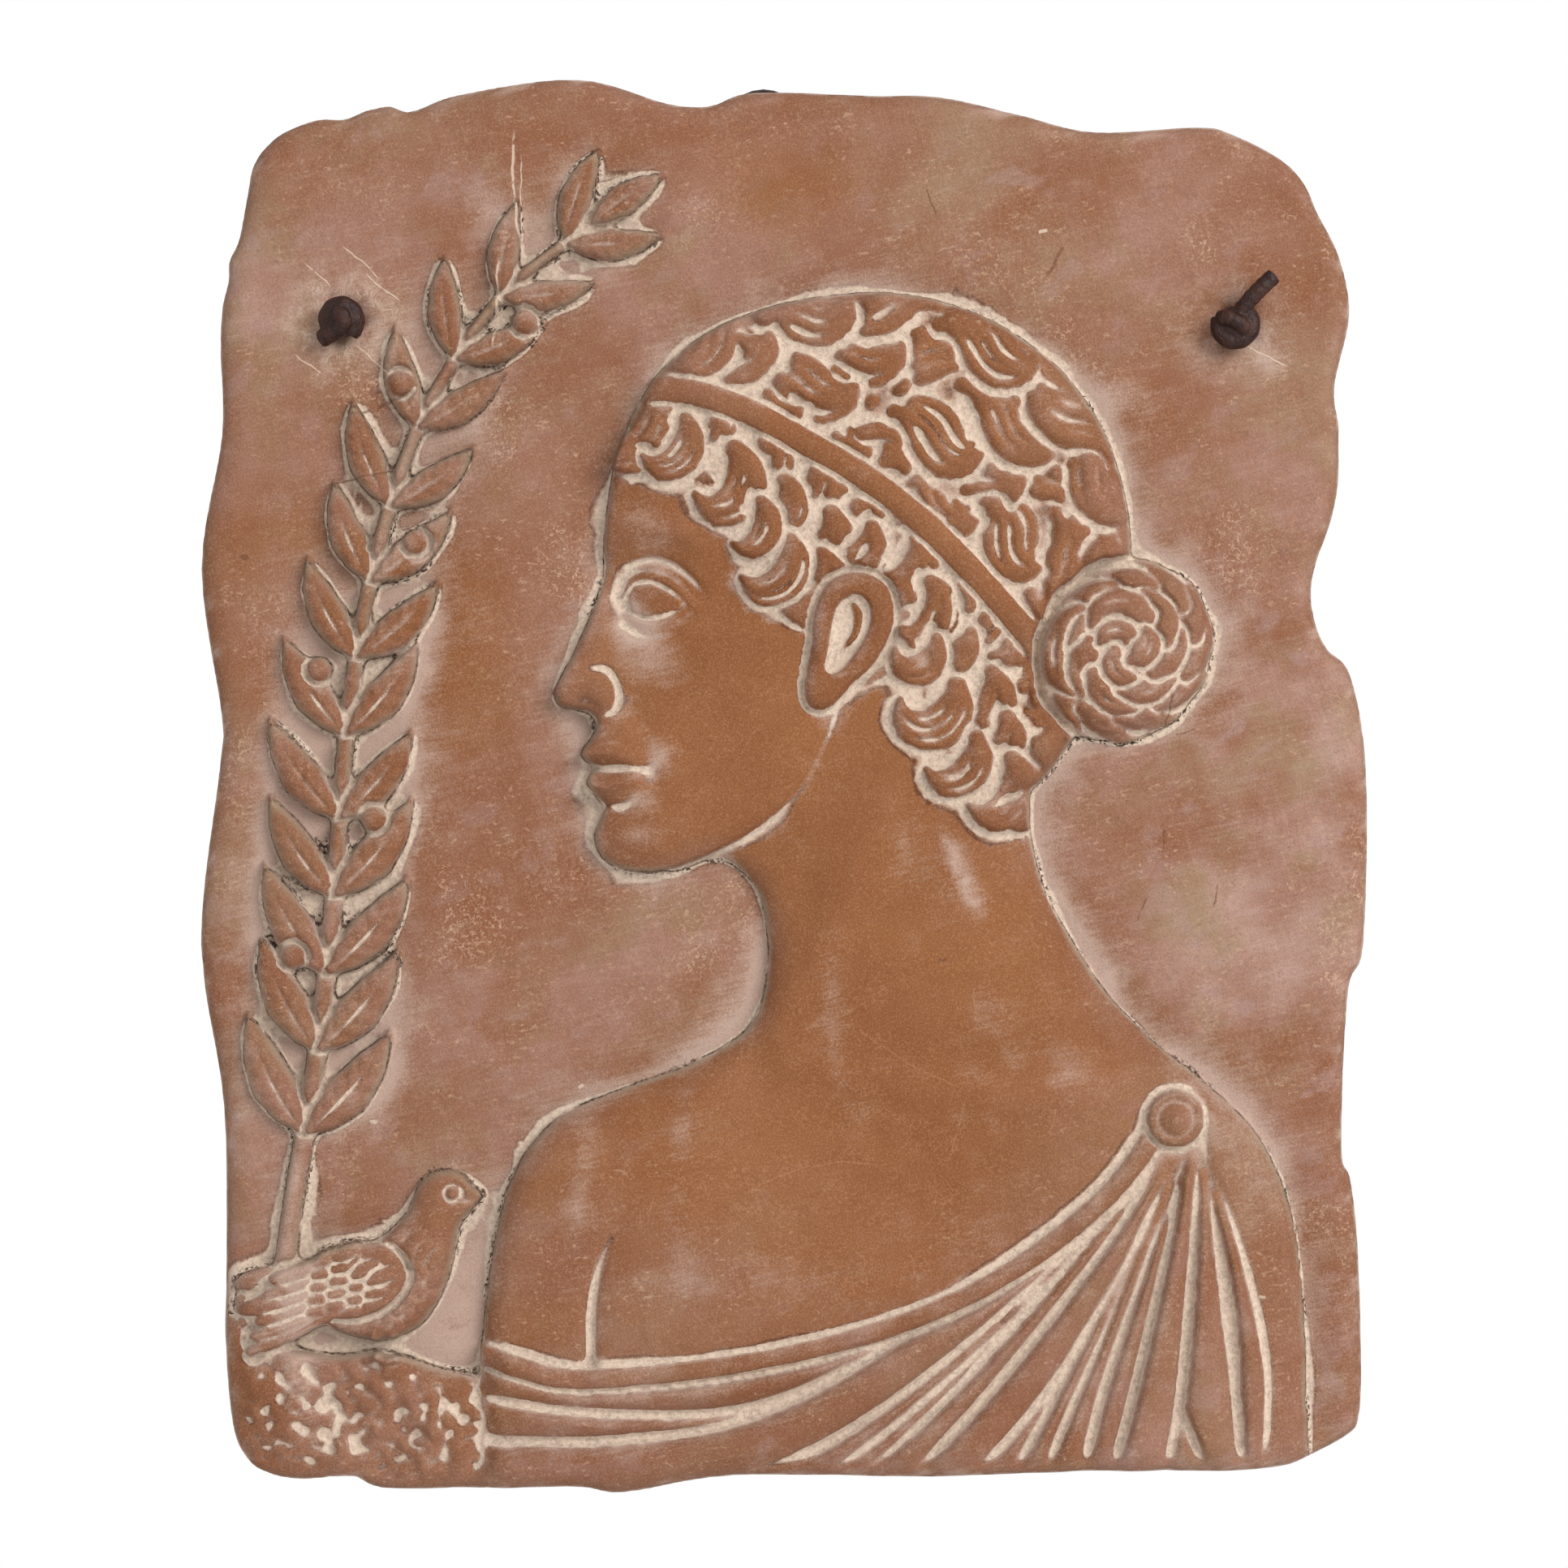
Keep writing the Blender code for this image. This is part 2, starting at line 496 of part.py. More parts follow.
def model_ear(clay):
    """Outer rim, inner fold, hollow, tragus and lobe, over the hair."""
    turn = np.array([[math.cos(EAR_TILT), math.sin(EAR_TILT)],
                     [-math.sin(EAR_TILT), math.cos(EAR_TILT)]])

    def on_ear(points):
        return on_head(np.asarray(points, float) @ turn + EAR_PLACE)

    win, depth = clay.depth(smooth(on_ear(EAR), 8, True), 10)
    clay.cap(win, depth > -1.3, 5.6)
    clay.lay(win, depth > 0, 7.0 + 2.0 * roll(depth, 2.4))
    ear = clay.everywhere(win, depth > 0, False)
    win, depth = clay.depth(smooth(on_ear(EAR_HOLLOW), 8, True), 6)
    clay.height[win] -= np.where(depth > 0, 2.6 * roll(depth, 2.4), 0)
    clay.score(smooth(on_ear([(0.4, 9.4), (3.2, 6.5), (3.4, 2), (1.4, -2)])), 1.1, 1.2, ear,
               (0.4, 1, 1, 0.2))
    clay.swell(on_ear((-3.0, -1.6)), (2.05, 3.1), 1.0, 0, ear, 1.4)
    clay.swell(on_ear((-0.8, -11)), (3.0, 3.2), 0.4, 0, ear)


# ---- hair ---------------------------------------------------------------------------
def model_hair(clay):
    """Strands combed back over the crown, a fillet, curls below it and a knot behind."""
    crown = smooth(on_head(CROWN), 6)
    fillet = smooth(on_head(FILLET), 8)
    win, depth = clay.depth(closed_ring(crown, smooth(on_head(HAIRLINE[::-1]), 6)), 12)
    near_crown = clay.trace(crown, 70)
    to_crown = clay.everywhere(near_crown[0], near_crown[1], 70.0)
    scalp = 2.6 * roll(to_crown, 2.5) + 3.9 * roll(to_crown, 26)
    clay.lay(win, depth > 0, scalp[win])
    hair = clay.everywhere(win, depth > 0, False)
    top_win, top_depth = clay.depth(closed_ring(crown, fillet[::-1]), 12)
    over_crown = clay.everywhere(top_win, top_depth > 0, False)
    comb_crown(clay, scalp, over_crown)
    curl_temples(clay, scalp + 0.2)
    drop_slivers(clay, scalp, hair)
    tie_fillet(clay, fillet, scalp + 0.6)
    coil_knot(clay)


def comb_crown(clay, scalp, within):
    """Rows of long waved locks from the fillet to the crown, the front ones on top."""
    rng = np.random.default_rng(11)
    crown = spaced(smooth(on_head(CROWN[1:])), 240)
    fillet = spaced(smooth(on_head(FILLET[1:])), 240)
    half = 0.5 * np.hypot(*(crown[120] - fillet[120])) / LOCK_ROWS
    for k in range(LOCKS_ALONG, -1, -1):
        for row in range(LOCK_ROWS - 1, -1, -1):
            low = (row + 0.5 + 0.10 * rng.standard_normal()) / LOCK_ROWS
            place = k - 0.5 * (row % 2) + 0.10 * rng.standard_normal()
            at = int(np.clip(238 * place / LOCKS_ALONG, 1, 236))
            root = crown[at] * (1 - low) + fillet[at] * low
            ahead = crown[at + 2] * (1 - low) + fillet[at + 2] * low - root
            bend = (1.0 + 0.35 * rng.random()) * (-1) ** (row + k)
            length = LOCK_LENGTH * (0.9 + 0.25 * rng.random())
            first = curl(root, math.atan2(ahead[1], ahead[0]) - 0.5 * bend, 0.5 * length,
                         1.15 * bend, 8, 1.0)
            last = curl(first[-1], math.atan2(*(first[-1] - first[-2])[::-1]), 0.5 * length,
                        -1.5 * bend, 8, 1.2)
            clay.strip(np.vstack([first, last[1:]]), 1.08 * half, WAVE_TAPER, scalp,
                       combed(rng, 2.5, 3, 2.3), 0, 1.6, within, 0.35)


def curl_temples(clay, scalp):
    """Rows of commas between the fillet and the hairline, the lowest on top."""
    rng = np.random.default_rng(5)
    within = clay.raised.copy()
    low = spaced(smooth(on_head(HAIRLINE)), 200)
    high = spaced(smooth(on_head(FILLET)), 200)
    columns = int(np.hypot(*np.diff(0.55 * low + 0.45 * high, axis=0).T).sum() / CURL_PITCH)
    curls = []
    for k in range(columns + 1):
        place = (k + 0.4) / columns
        at = int(199 * min(place, 1))
        gap = np.hypot(*(low[at] - high[at]))
        rows = max(1, round(gap / (0.9 * CURL_PITCH)))
        for j in range(rows):
            along = place + (0.5 * (j % 2) + 0.12 * rng.standard_normal()) / columns
            curls.append(((j + 0.22) / rows, float(np.clip(along, 0.03, 0.985)), gap / rows))
    for up, along, room in sorted(curls, reverse=True):
        at = int(199 * along)
        middle = low[at] * (1 - up) + high[at] * up
        fall = (low[at] - high[at]) / np.hypot(*(low[at] - high[at]))
        size = float(np.clip(1.15 * room, 9.0, 12.0)) * (0.92 + 0.24 * rng.random())
        heading = math.atan2(fall[1], fall[0]) + 0.85 + 0.25 * rng.standard_normal()
        spine = curl(middle - 0.62 * size * fall, heading, 1.95 * size,
                     -2.7 - 0.8 * rng.random(), 16, 1.3)
        clay.strip(spine, 0.42 * size, LOCK_TAPER, scalp, combed(rng, 2.7, 3, 2.3), 0, 1.7,
                   within, 0.4)


def drop_slivers(clay, scalp, within, size=0.75):
    """Cut away what the locks have left of each other, where it is too thin to stand."""
    standing = within & (clay.height > scalp + 0.5)
    core = clay.blurred(standing.astype(float), size) > 0.72
    kept = clay.blurred(core.astype(float), size) > 0.12
    clay.height = np.where(standing & ~kept, scalp, clay.height)


def tie_fillet(clay, line, level, half=3.0):
    """A flat band with a groove along each edge."""
    def section(across, _):
        flat = 1.9 * np.sqrt(np.clip(1 - across ** 6, 0, 1))
        return flat - 0.5 * bell(np.abs(across) - 0.62, 0.13)
    clay.strip(line, half, ([0, 1], [1, 1]), level, section, 0.2, 1.1, clay.raised.copy())


def coil_knot(clay):
    """The knot of hair behind: three rings of locks wound round a mound."""
    rng = np.random.default_rng(7)
    centre = on_head(COIL)
    c, s = math.cos(COIL_TURN), math.sin(COIL_TURN)
    win = clay.window(centre - 1.5 * COIL_RADIUS, centre + 1.5 * COIL_RADIUS)
    dx = clay.x[win[1]][None, :] - centre[0]
    dz = clay.z[win[0]][:, None] - centre[1]
    out = np.hypot((dx * c + dz * s) / COIL_STRETCH[0], (dz * c - dx * s) / COIL_STRETCH[1])
    clay.cap(win, out < COIL_RADIUS + 1.8, 2.4)
    mound = 6.4 * np.sqrt(np.clip(1 - (out / (COIL_RADIUS * 1.04)) ** 2.4, 0, 1))
    clay.lay(win, out < COIL_RADIUS, mound)
    level = clay.everywhere(win, mound, 0.0)
    for ring, count, half, length in ((0.80, 11, 4.6, 21), (0.46, 7, 4.2, 15), (0.14, 3, 3.4, 9)):
        for k in range(count):
            angle = TAU * k / count + 3 * ring
            place = np.array([math.cos(angle), math.sin(angle)]) * COIL_STRETCH * COIL_RADIUS
            root = centre + ring * place @ ((c, s), (-s, c))
            spine = curl(root, angle + COIL_TURN + math.pi / 2 - 0.15, length, 1.75)
            clay.strip(spine, half, LOCK_TAPER, level, combed(rng, 1.9, 2, 1.5))


# ---- dress --------------------------------------------------------------------------
def model_dress(clay, body_depth):
    """Cloth pinned on the far shoulder, falling across the breast in folds."""
    neckline = smooth(NECKLINE)
    shoulder = smooth([(118, -86), (108, -73), (98, -68.5), tuple(BROOCH + [0, 3])], 4)
    ring = closed_ring(neckline, [(-80, -190), (130, -190), (130, -90)], shoulder)
    win, depth = clay.depth(ring, 20)
    cloth = (depth > 0) & (body_depth[win] > 0)
    clay.height[win] += np.where(cloth, 1.3 * roll(depth, 2), 0)
    within = clay.everywhere(win, cloth, False)
    level = clay.blurred(clay.height, 2.0)
    rng = np.random.default_rng(3)
    border = spaced([(-80, -132), (-80, -188), (126, -188)], 200)
    for k in range(2 * FOLDS - 1, -1, -1):
        share = (k + 0.35 * rng.random()) / (2 * FOLDS)
        end = border[int(199 * share)]
        start = BROOCH + [-6 + 11 * share, -4]
        sag = 29 * (1 - share) ** 1.25
        sway = 1.6 * rng.standard_normal()
        middle = 0.5 * (start + end) - [0.1 * sag + sway, sag]
        line = smooth([start, 0.5 * (start + middle) - [0.5 * sway, 0.2 * sag], middle,
                       0.5 * (middle + end) - [-sway, 0.14 * sag], end])
        spread = 13.5 * (0.85 + 0.3 * rng.random())
        if k % 2:
            clay.strip(line[3:], 0.40 * spread, ([0, 0.5, 1], [0.08, 0.5, 1]), level,
                       fold_section(2.5 + rng.random()), -0.9, 1.7, within)
        else:
            clay.strip(line, 0.58 * spread, ([0, 0.25, 0.6, 1], [0.2, 0.42, 0.8, 1]), level,
                       fold_section(3.2 + 1.3 * rng.random()), -1.0, 2.0, within)
    clay.height = np.where(within, clay.blurred(clay.height, 0.6), clay.height)
    near_edge = ease(body_depth / 5)
    clay.height = np.where(within, level + (clay.height - level) * near_edge, clay.height)
    body = clay.raised.copy()
    clay.score(neckline, 4.4, -1.3, body)
    clay.strip(neckline, HEM_HALF, ([0, 1], [1, 1]), 2 + 4.4 * ease(body_depth / 8),
               hem_section, -0.4, 0.8, body)
    pin_brooch(clay)


def hem_section(across, share):
    """A rolled hem, faintly pinched along its length."""
    return (1.9 + 0.22 * np.sin(TAU * 13 * share)) * dome(across)


def pin_brooch(clay):
    """A round brooch with a raised rim and a boss."""
    win = clay.window(BROOCH - 10, BROOCH + 10)
    out = np.hypot(clay.x[win[1]][None, :] - BROOCH[0], clay.z[win[0]][:, None] - BROOCH[1])
    share = out / BROOCH_RADIUS
    disc = 7.0 + 1.9 * np.sqrt(np.clip(1 - share ** 4, 0, 1))
    disc += 0.9 * bell(out, 1.8) - 0.9 * bell(out - 4.2, 0.7)
    clay.cap(win, out < BROOCH_RADIUS + 1.2, 5.2)
    clay.lay(win, share < 1, disc)


# ---- laurel -------------------------------------------------------------------------
def model_laurel(clay):
    """A branch with pairs of leaves, a leaf at the tip and berries."""
    ground = np.full(clay.height.shape, 0.3)
    stem = spaced(smooth(STEM, 10), 200)
    clay.strip(stem, 2.5, ([0, 1], [1, 0.5]), ground, lambda across, _: 0.5 + 2.6 * dome(across))
    along = np.gradient(stem, axis=0)
    angles = np.unwrap(np.arctan2(along[:, 1], along[:, 0]))
    rng = np.random.default_rng(4)
    for k in range(LEAF_PAIRS):
        share = 0.17 + 0.80 * k / (LEAF_PAIRS - 1)
        at = int(199 * share)
        for side in (1, -1):
            length = LEAF_LENGTH - 9 * share + 2.5 * rng.random()
            heading = angles[at] + side * (0.74 + 0.16 * rng.random())
            step = np.array([math.cos(heading), math.sin(heading)])
            spine = curl(stem[at] + 1.2 * step, heading, length, -0.45 * side, 12, 1.0)
            half = LEAF_HALF * length / LEAF_LENGTH
            clay.strip(spine, half, LEAF_TAPER, ground, leaf_section(2.7), 0.2)
    tip = curl(stem[-1], angles[-1], 20, -0.15, 12, 1.0)
    clay.strip(tip, 3.8, LEAF_TAPER, ground, leaf_section(2.7), 0.2)
    for share, side in BERRIES:
        at = int(199 * share)
        heading = angles[at] + side * 1.35
        place = stem[at] + 8.2 * np.array([math.cos(heading), math.sin(heading)])
        clay.score([stem[at], place], 0.8, 1.3)
        win = clay.window(place - 6, place + 6)
        out = np.hypot(clay.x[win[1]][None, :] - place[0], clay.z[win[0]][:, None] - place[1])
        around = (out < BERRY_RADIUS + 1) & clay.raised[win]
        clay.height[win] = np.where(around, np.minimum(clay.height[win], 0.6), clay.height[win])
        clay.lay(win, out < BERRY_RADIUS, 1.0 + 3.0 * dome(out / BERRY_RADIUS))


# ---- rock and dove ------------------------------------------------------------------
def model_rock(clay, bust):
    """A ledge of rough, pitted rock in the lower corner."""
    win, depth = clay.depth(smooth(ROCK, 6, True), 10)
    rough = 0.55 * clay.noise(2.9, 21) + 0.55 * clay.noise(1.5, 22) + 0.7 * clay.noise(8, 23)
    surface = 3.6 * roll(depth, 3) + rough[win] * ease(depth / 2)
    clay.lay(win, (depth > 0) & ~bust[win], surface)


def model_dove(clay):
    """A dove at rest on the rock, looking up at the bust."""
    low = np.full(clay.height.shape, 1.2)
    for k in range(4):
        spine = curl(on_dove((-10, -6 + 1.6 * k)), math.pi + 0.50 - 0.14 * k, 21, 0.08)
        clay.strip(spine, 2.9, FEATHER_TAPER, low, lock_section(1.5))
    body = smooth(on_dove([(-17, -9), (-8, -16), (4, -18.5), (14, -14.5), (20, -5), (22.5, 4),
                           (24, 11), (27.5, 15.5), (30.5, 19.2), (27.8, 20.6), (24.6, 24.4),
                           (18.8, 25.4), (13.5, 22), (10, 14), (3, 7.5), (-8, 3),
                           (-18, -2)]), 8, True)
    win, depth = clay.depth(body, 14)
    clay.lay(win, depth > 0, 1.6 * roll(depth, 1.6) + 4.4 * roll(depth, 12))
    bird = clay.everywhere(win, depth > 0, False)
    plumage = np.maximum(clay.height - 0.6, 0)
    for row in range(6):
        for k in range(5):
            root = on_dove((6 + 2.9 * row, -12 + 4.6 * k + 2.3 * (row % 2)))
            if np.hypot(*(root - on_dove((19, 16)))) > 7:
                spine = curl(root, math.pi + 0.6, 4.4, 0.3, 6)
                clay.strip(spine, 2.0, FEATHER_TAPER, plumage, lock_section(0.8), within=bird)
    model_wing(clay)
    eye = on_dove((22.2, 19.6))
    clay.swell(eye, (2.1, 2.1), -2.4, within=bird, power=2)
    clay.swell(eye, (1.2, 1.2), 3.2, within=bird, power=2)
    clay.score(on_dove([(25, 17.2), (30.2, 19.4)]), 0.6, -1.3, bird)
    clay.score(smooth(on_dove([(25.6, 22.6), (24.9, 19.6), (25.2, 16.6)])), 0.7, -0.9, bird,
               (0.3, 1, 0.3))
    for x in (2, 7):
        clay.score(on_dove([(x, -17), (x + 1, -22)]), 0.9, 2.0)
        for spread in (-3, 1, 5):
            clay.score(on_dove([(x + 1, -22), (x + 1 + spread, -23.5)]), 0.7, 1.6)


def model_wing(clay):
    """The folded wing: a shield of short feathers over long ones."""
    ring = smooth(on_dove([(11, -2), (7, 5.5), (-2, 6.5), (-14, 2), (-27, -6), (-34, -11),
                           (-26, -12.5), (-14, -12.5), (-3, -13), (6, -9.5)]), 8, True)
    win, depth = clay.depth(ring, 8)
    clay.cap(win, depth > -1.2, 3.2)
    clay.lay(win, depth > 0, 5.2 * roll(depth, 1) + 0.9 * roll(depth, 7))
    level = np.full(clay.height.shape, 5.4)
    for k in range(6):
        root = on_dove((-7.5 - 0.6 * k, -10.4 + 2.5 * k))
        spine = curl(root, math.pi + 0.50 - 0.02 * k, 22 - 1.9 * k, -0.12)
        clay.strip(spine, 1.8, FEATHER_TAPER, level, lock_section(1.1))
    for row, (x, count) in enumerate(((-9, 5), (-4, 5), (1, 4), (5.5, 3))):
        for k in range(count):
            root = on_dove((x + 0.4 * k, -8.6 + 3.2 * k + 1.5 * (row % 2)))
            spine = curl(root, math.pi + 0.35, 4.9, 0.2, 6)
            clay.strip(spine, 1.9, FEATHER_TAPER, level, lock_section(0.95))


# ---- ground and edge of the slab ----------------------------------------------------
def finish_ground(clay):
    """Uneven ground, sunk beside the figures, flat round the holes, worn at the rim."""
    uneven = 0.30 * clay.noise(34, 1) + 0.13 * clay.noise(13, 2)
    beside = np.clip(1.6 * clay.blurred(clay.raised.astype(float), 6), 0, 1)
    clay.height = np.where(clay.raised, clay.height + 0.25 * uneven, uneven - 1.5 * beside)
    clay.height = clay.blurred(clay.height, 0.35)
    win, depth = clay.depth(smooth(TOP + RIGHT + BOTTOM + LEFT, SPAN_STEPS, True), 16)
    inwards = clay.everywhere(win, np.clip(depth, 0, None), 16.0)
    calm = clay.blurred(clay.height, RIM_CALM)
    clay.height = calm + (clay.height - calm) * ease((inwards - 0.8) / RIM_RUN)
    clay.height -= RIM_DROP * (1 - roll(inwards, RIM_RUN))
    for x, z in HOLES:
        out = np.hypot(clay.x[None, :] - x, clay.z[:, None] - z)
        clay.height += (PAD_LEVEL - clay.height) * ease((1.5 * PAD_RADIUS - out) / (0.5 * PAD_RADIUS))


def model_relief(pitch=0.6):
    """The whole relief as heights over the ground."""
    clay = Clay(pitch)
    body_depth = model_body(clay)
    bust = clay.raised.copy()
    model_face(clay)
    model_rock(clay, bust)
    model_laurel(clay)
    model_dove(clay)
    model_hair(clay)
    model_ear(clay)
    model_dress(clay, body_depth)
    finish_ground(clay)
    return clay


# ---- solids -------------------------------------------------------------------------
def to_world(x, height, z):
    """From the slab's plane, and a height over its ground, to metres from the nail."""
    return Vector((x - NAIL[0], -(BACK_GAP + THICKNESS) - height, z - NAIL[1])) * MM


def outline_sides():
    """The four sides of the worn outline, each from left to right or upwards."""
    line = smooth(TOP + RIGHT + BOTTOM + LEFT, SPAN_STEPS, True)
    ends = np.cumsum([0, len(TOP), len(RIGHT), len(BOTTOM), len(LEFT)]) * SPAN_STEPS
    top, right, bottom, left = (line[a:b + 1] for a, b in zip(ends[:-1], ends[1:]))
    return top, right[::-1], bottom[::-1], left


def outline_patch(across, up):
    """Points of the slab's plane for shares across and up the worn outline."""
    top, right, bottom, left = (spaced(side, SIDE_POINTS) for side in outline_sides())
    steps = np.linspace(0, 1, SIDE_POINTS)

    def along(side, share):
        return np.stack([np.interp(share, steps, axis) for axis in side.T], 1)

    u, v = across[:, None], up[:, None]
    sides = (1 - v) * along(bottom, across) + v * along(top, across)
    sides += (1 - u) * along(left, up) + u * along(right, up)
    corners = (1 - v) * ((1 - u) * bottom[0] + u * bottom[-1])
    corners += v * ((1 - u) * top[0] + u * top[-1])
    return sides - corners


def sampled(clay, points):
    """Heights of the clay at points of the slab's plane."""
    column = (points[:, 0] - clay.x[0]) / clay.pitch
    row = (points[:, 1] - clay.z[0]) / clay.pitch
    c, r = column.astype(int), row.astype(int)
    fc, fr = column - c, row - r
    low = clay.height[r, c] * (1 - fc) + clay.height[r, c + 1] * fc
    high = clay.height[r + 1, c] * (1 - fc) + clay.height[r + 1, c + 1] * fc
    return low * (1 - fr) + high * fr


def slab_mesh(clay):
    """A grid warped to the outline and raised to the relief, closed round and behind."""
    columns, rows = (round(size / GRID_PITCH) for size in GRID_SIZE)
    bm = bmesh.new()
    bmesh.ops.create_grid(bm, x_segments=columns, y_segments=rows, size=0.5)
    shares = np.array([vertex.co[:2] for vertex in bm.verts]) + 0.5
    points = outline_patch(shares[:, 0], shares[:, 1])
    for vertex, (x, z), height in zip(bm.verts, points, sampled(clay, points)):
        vertex.co = (x, -height, z)
    border = [edge for edge in bm.edges if edge.is_boundary]
    rim = RIM_DROP + 0.5
    straight = np.linspace(rim, THICKNESS - BACK_ROUND, WALL_STEPS)[1:]
    profile = [(0.0, depth) for depth in straight]
    for angle in (0.35 * math.pi, 0.5 * math.pi):
        inset = BACK_ROUND * (1 - math.cos(angle))
        profile.append((inset, THICKNESS - BACK_ROUND * (1 - math.sin(angle))))
    inset_before = 0.0
    for inset, depth in profile:
        made = bmesh.ops.extrude_edge_only(bm, edges=border)["geom"]
        border = [item for item in made if isinstance(item, bmesh.types.BMEdge)]
        for vertex in {vertex for edge in border for vertex in edge.verts}:
            reach = math.hypot(vertex.co.x, vertex.co.z)
            shrink = 1 - (inset - inset_before) / reach
            vertex.co = (vertex.co.x * shrink, depth, vertex.co.z * shrink)
        inset_before = inset
    back = bmesh.ops.contextual_create(bm, geom=border)["faces"]
    bmesh.ops.triangulate(bm, faces=back)
    bmesh.ops.recalc_face_normals(bm, faces=bm.faces)
    for vertex in bm.verts:
        vertex.co = to_world(vertex.co.x, -vertex.co.y, vertex.co.z)
    mesh = bpy.data.meshes.new("terracotta_plaque")
    bm.to_mesh(mesh)
    bm.free()
    return mesh


def make_material(name, colour, roughness):
    """A plain Principled finish."""
    material = bpy.data.materials.new(name)
    material.use_nodes = True
    shader = material.node_tree.nodes["Principled BSDF"]
    shader.inputs["Base Color"].default_value = (*colour, 1)
    shader.inputs["Roughness"].default_value = roughness
    shader.inputs["Metallic"].default_value = 0.0
    material.diffuse_color = (*colour, 1)
    return material


def make_plaque(parts, cutters):
    """The fired slab with its relief and the two holes for the lace."""
    plaque = bpy.data.objects.new("terracotta_plaque", slab_mesh(model_relief()))
    parts.objects.link(plaque)
    plaque.data.materials.append(make_material("terracotta", (0.35, 0.15, 0.075), 0.9))
    triangles = sum(len(face.vertices) - 2 for face in plaque.data.polygons)
    thinned = plaque.modifiers.new("thinned", "DECIMATE")
    thinned.ratio = PLAQUE_TRIANGLES / triangles
    for number, (x, z) in enumerate(HOLES):
        bpy.ops.mesh.primitive_cylinder_add(vertices=HOLE_SIDES, radius=HOLE_RADIUS * MM,
                                            depth=3 * THICKNESS * MM,
                                            location=to_world(x, -THICKNESS / 2, z),
                                            rotation=(math.pi / 2, 0, 0))
        cutter = bpy.context.object
        cutter.name = f"hole_cutter_{number + 1}"
        cutter.hide_render = True
        cutter.display_type = "WIRE"
        move_to(cutter, cutters)
        hole = plaque.modifiers.new(cutter.name, "BOOLEAN")
        hole.operation = "DIFFERENCE"
        hole.object = cutter
    plaque.data.shade_smooth()
    return plaque


def move_to(thing, collection):
    """Take an object out of its collections and put it in this one."""
    for other in list(thing.users_collection):
        other.objects.unlink(thing)
    collection.objects.link(thing)


def lace_tube(parts):
    """The lace from knot to knot, as a mesh with its ends closed."""
    curve = bpy.data.curves.new("lace_line", "CURVE")
    curve.dimensions = "3D"
    curve.bevel_depth = LACE_RADIUS * MM
    curve.bevel_resolution = 2
    curve.use_fill_caps = True
    line = spaced(smooth(LACE_ROUTE), LACE_POINTS)
    spline = curve.splines.new("POLY")
    spline.points.add(len(line) - 1)
    for point, (x, y, z) in zip(spline.points, line):
        point.co = ((x - NAIL[0]) * MM, y * MM, (z - NAIL[1]) * MM, 1)
    guide = bpy.data.objects.new("lace_line", curve)
    parts.objects.link(guide)
    evaluated = guide.evaluated_get(bpy.context.evaluated_depsgraph_get())
    mesh = bpy.data.meshes.new_from_object(evaluated)
    bm = bmesh.new()
    bm.from_mesh(mesh)
    bmesh.ops.remove_doubles(bm, verts=bm.verts, dist=0.00001)
    bm.to_mesh(mesh)
    bm.free()
    lace = bpy.data.objects.new("leather_lace", mesh)
    lace.matrix_world = guide.matrix_world
    bpy.data.objects.remove(guide)
    parts.objects.link(lace)
    return lace


def join_to(body, piece, cutters):
    """Make a piece one solid with a body by a union, and keep it as its guide."""
    piece.hide_render = True
    piece.display_type = "WIRE"
    move_to(piece, cutters)
    joint = body.modifiers.new(piece.name, "BOOLEAN")
    joint.operation = "UNION"
    joint.object = piece


def make_lace(parts, cutters):
    """One lace: the tube behind the slab, a knot before each hole, and the two ends."""
    lace = lace_tube(parts)
    knot_height = PAD_LEVEL + KNOT_GAP + KNOT_DEPTH / 2
    ends = ((STUB_LENGTH, STUB_LEAN), (TAIL_LENGTH, TAIL_LEAN))
    for number, ((x, z), (length, lean)) in enumerate(zip(HOLES, ends), start=1):
        bpy.ops.mesh.primitive_uv_sphere_add(segments=20, ring_count=12, radius=KNOT_RADIUS * MM,
                                             location=to_world(x, knot_height, z),
                                             rotation=(math.pi / 2, 0, 0))
        knot = bpy.context.object
        knot.name = f"knot_{number}"
        knot.data.transform(Matrix.Diagonal((1, 1, KNOT_DEPTH / 2 / KNOT_RADIUS, 1)))
        join_to(lace, knot, cutters)
        middle = to_world(x + 0.5 * length * math.cos(lean), knot_height + TAIL_LIFT,
                          z + 0.5 * length * math.sin(lean))
        bpy.ops.mesh.primitive_cylinder_add(vertices=12, radius=0.98 * LACE_RADIUS * MM,
                                            depth=length * MM, location=middle,
                                            rotation=(0, math.pi / 2 - lean, 0))
        end = bpy.context.object
        end.name = f"lace_end_{number}"
        join_to(lace, end, cutters)
    lace.data.materials.append(make_material("dark_leather", (0.045, 0.024, 0.017), 0.55))
    lace.data.shade_smooth()
    return lace


def main():
    """Clear the scene and build the plaque and its lace."""
    for thing in list(bpy.data.objects):
        bpy.data.objects.remove(thing)
    parts = bpy.data.collections.new("wall_plaque")
    cutters = bpy.data.collections.new("cutters")
    bpy.context.scene.collection.children.link(parts)
    bpy.context.scene.collection.children.link(cutters)
    make_plaque(parts, cutters)
    make_lace(parts, cutters)


if __name__ == "__main__":
    main()
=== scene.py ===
"""Finished look of a terracotta relief plaque that hangs on a dark leather lace.

The relief is modelled on the slab's own plane in millimetres, x to the right and z up
from the slab's middle, as a map of heights that is painted from the back forwards. A
fine grid warped to the slab's worn outline takes its heights, and maps worked out from
the same heights say where slip, haze, soot and wear lie on the clay, and where painted
shade darkens the hollows.
"""
from __future__ import annotations

import logging
import math
from dataclasses import dataclass, field
from enum import Enum
from typing import Callable, Sequence

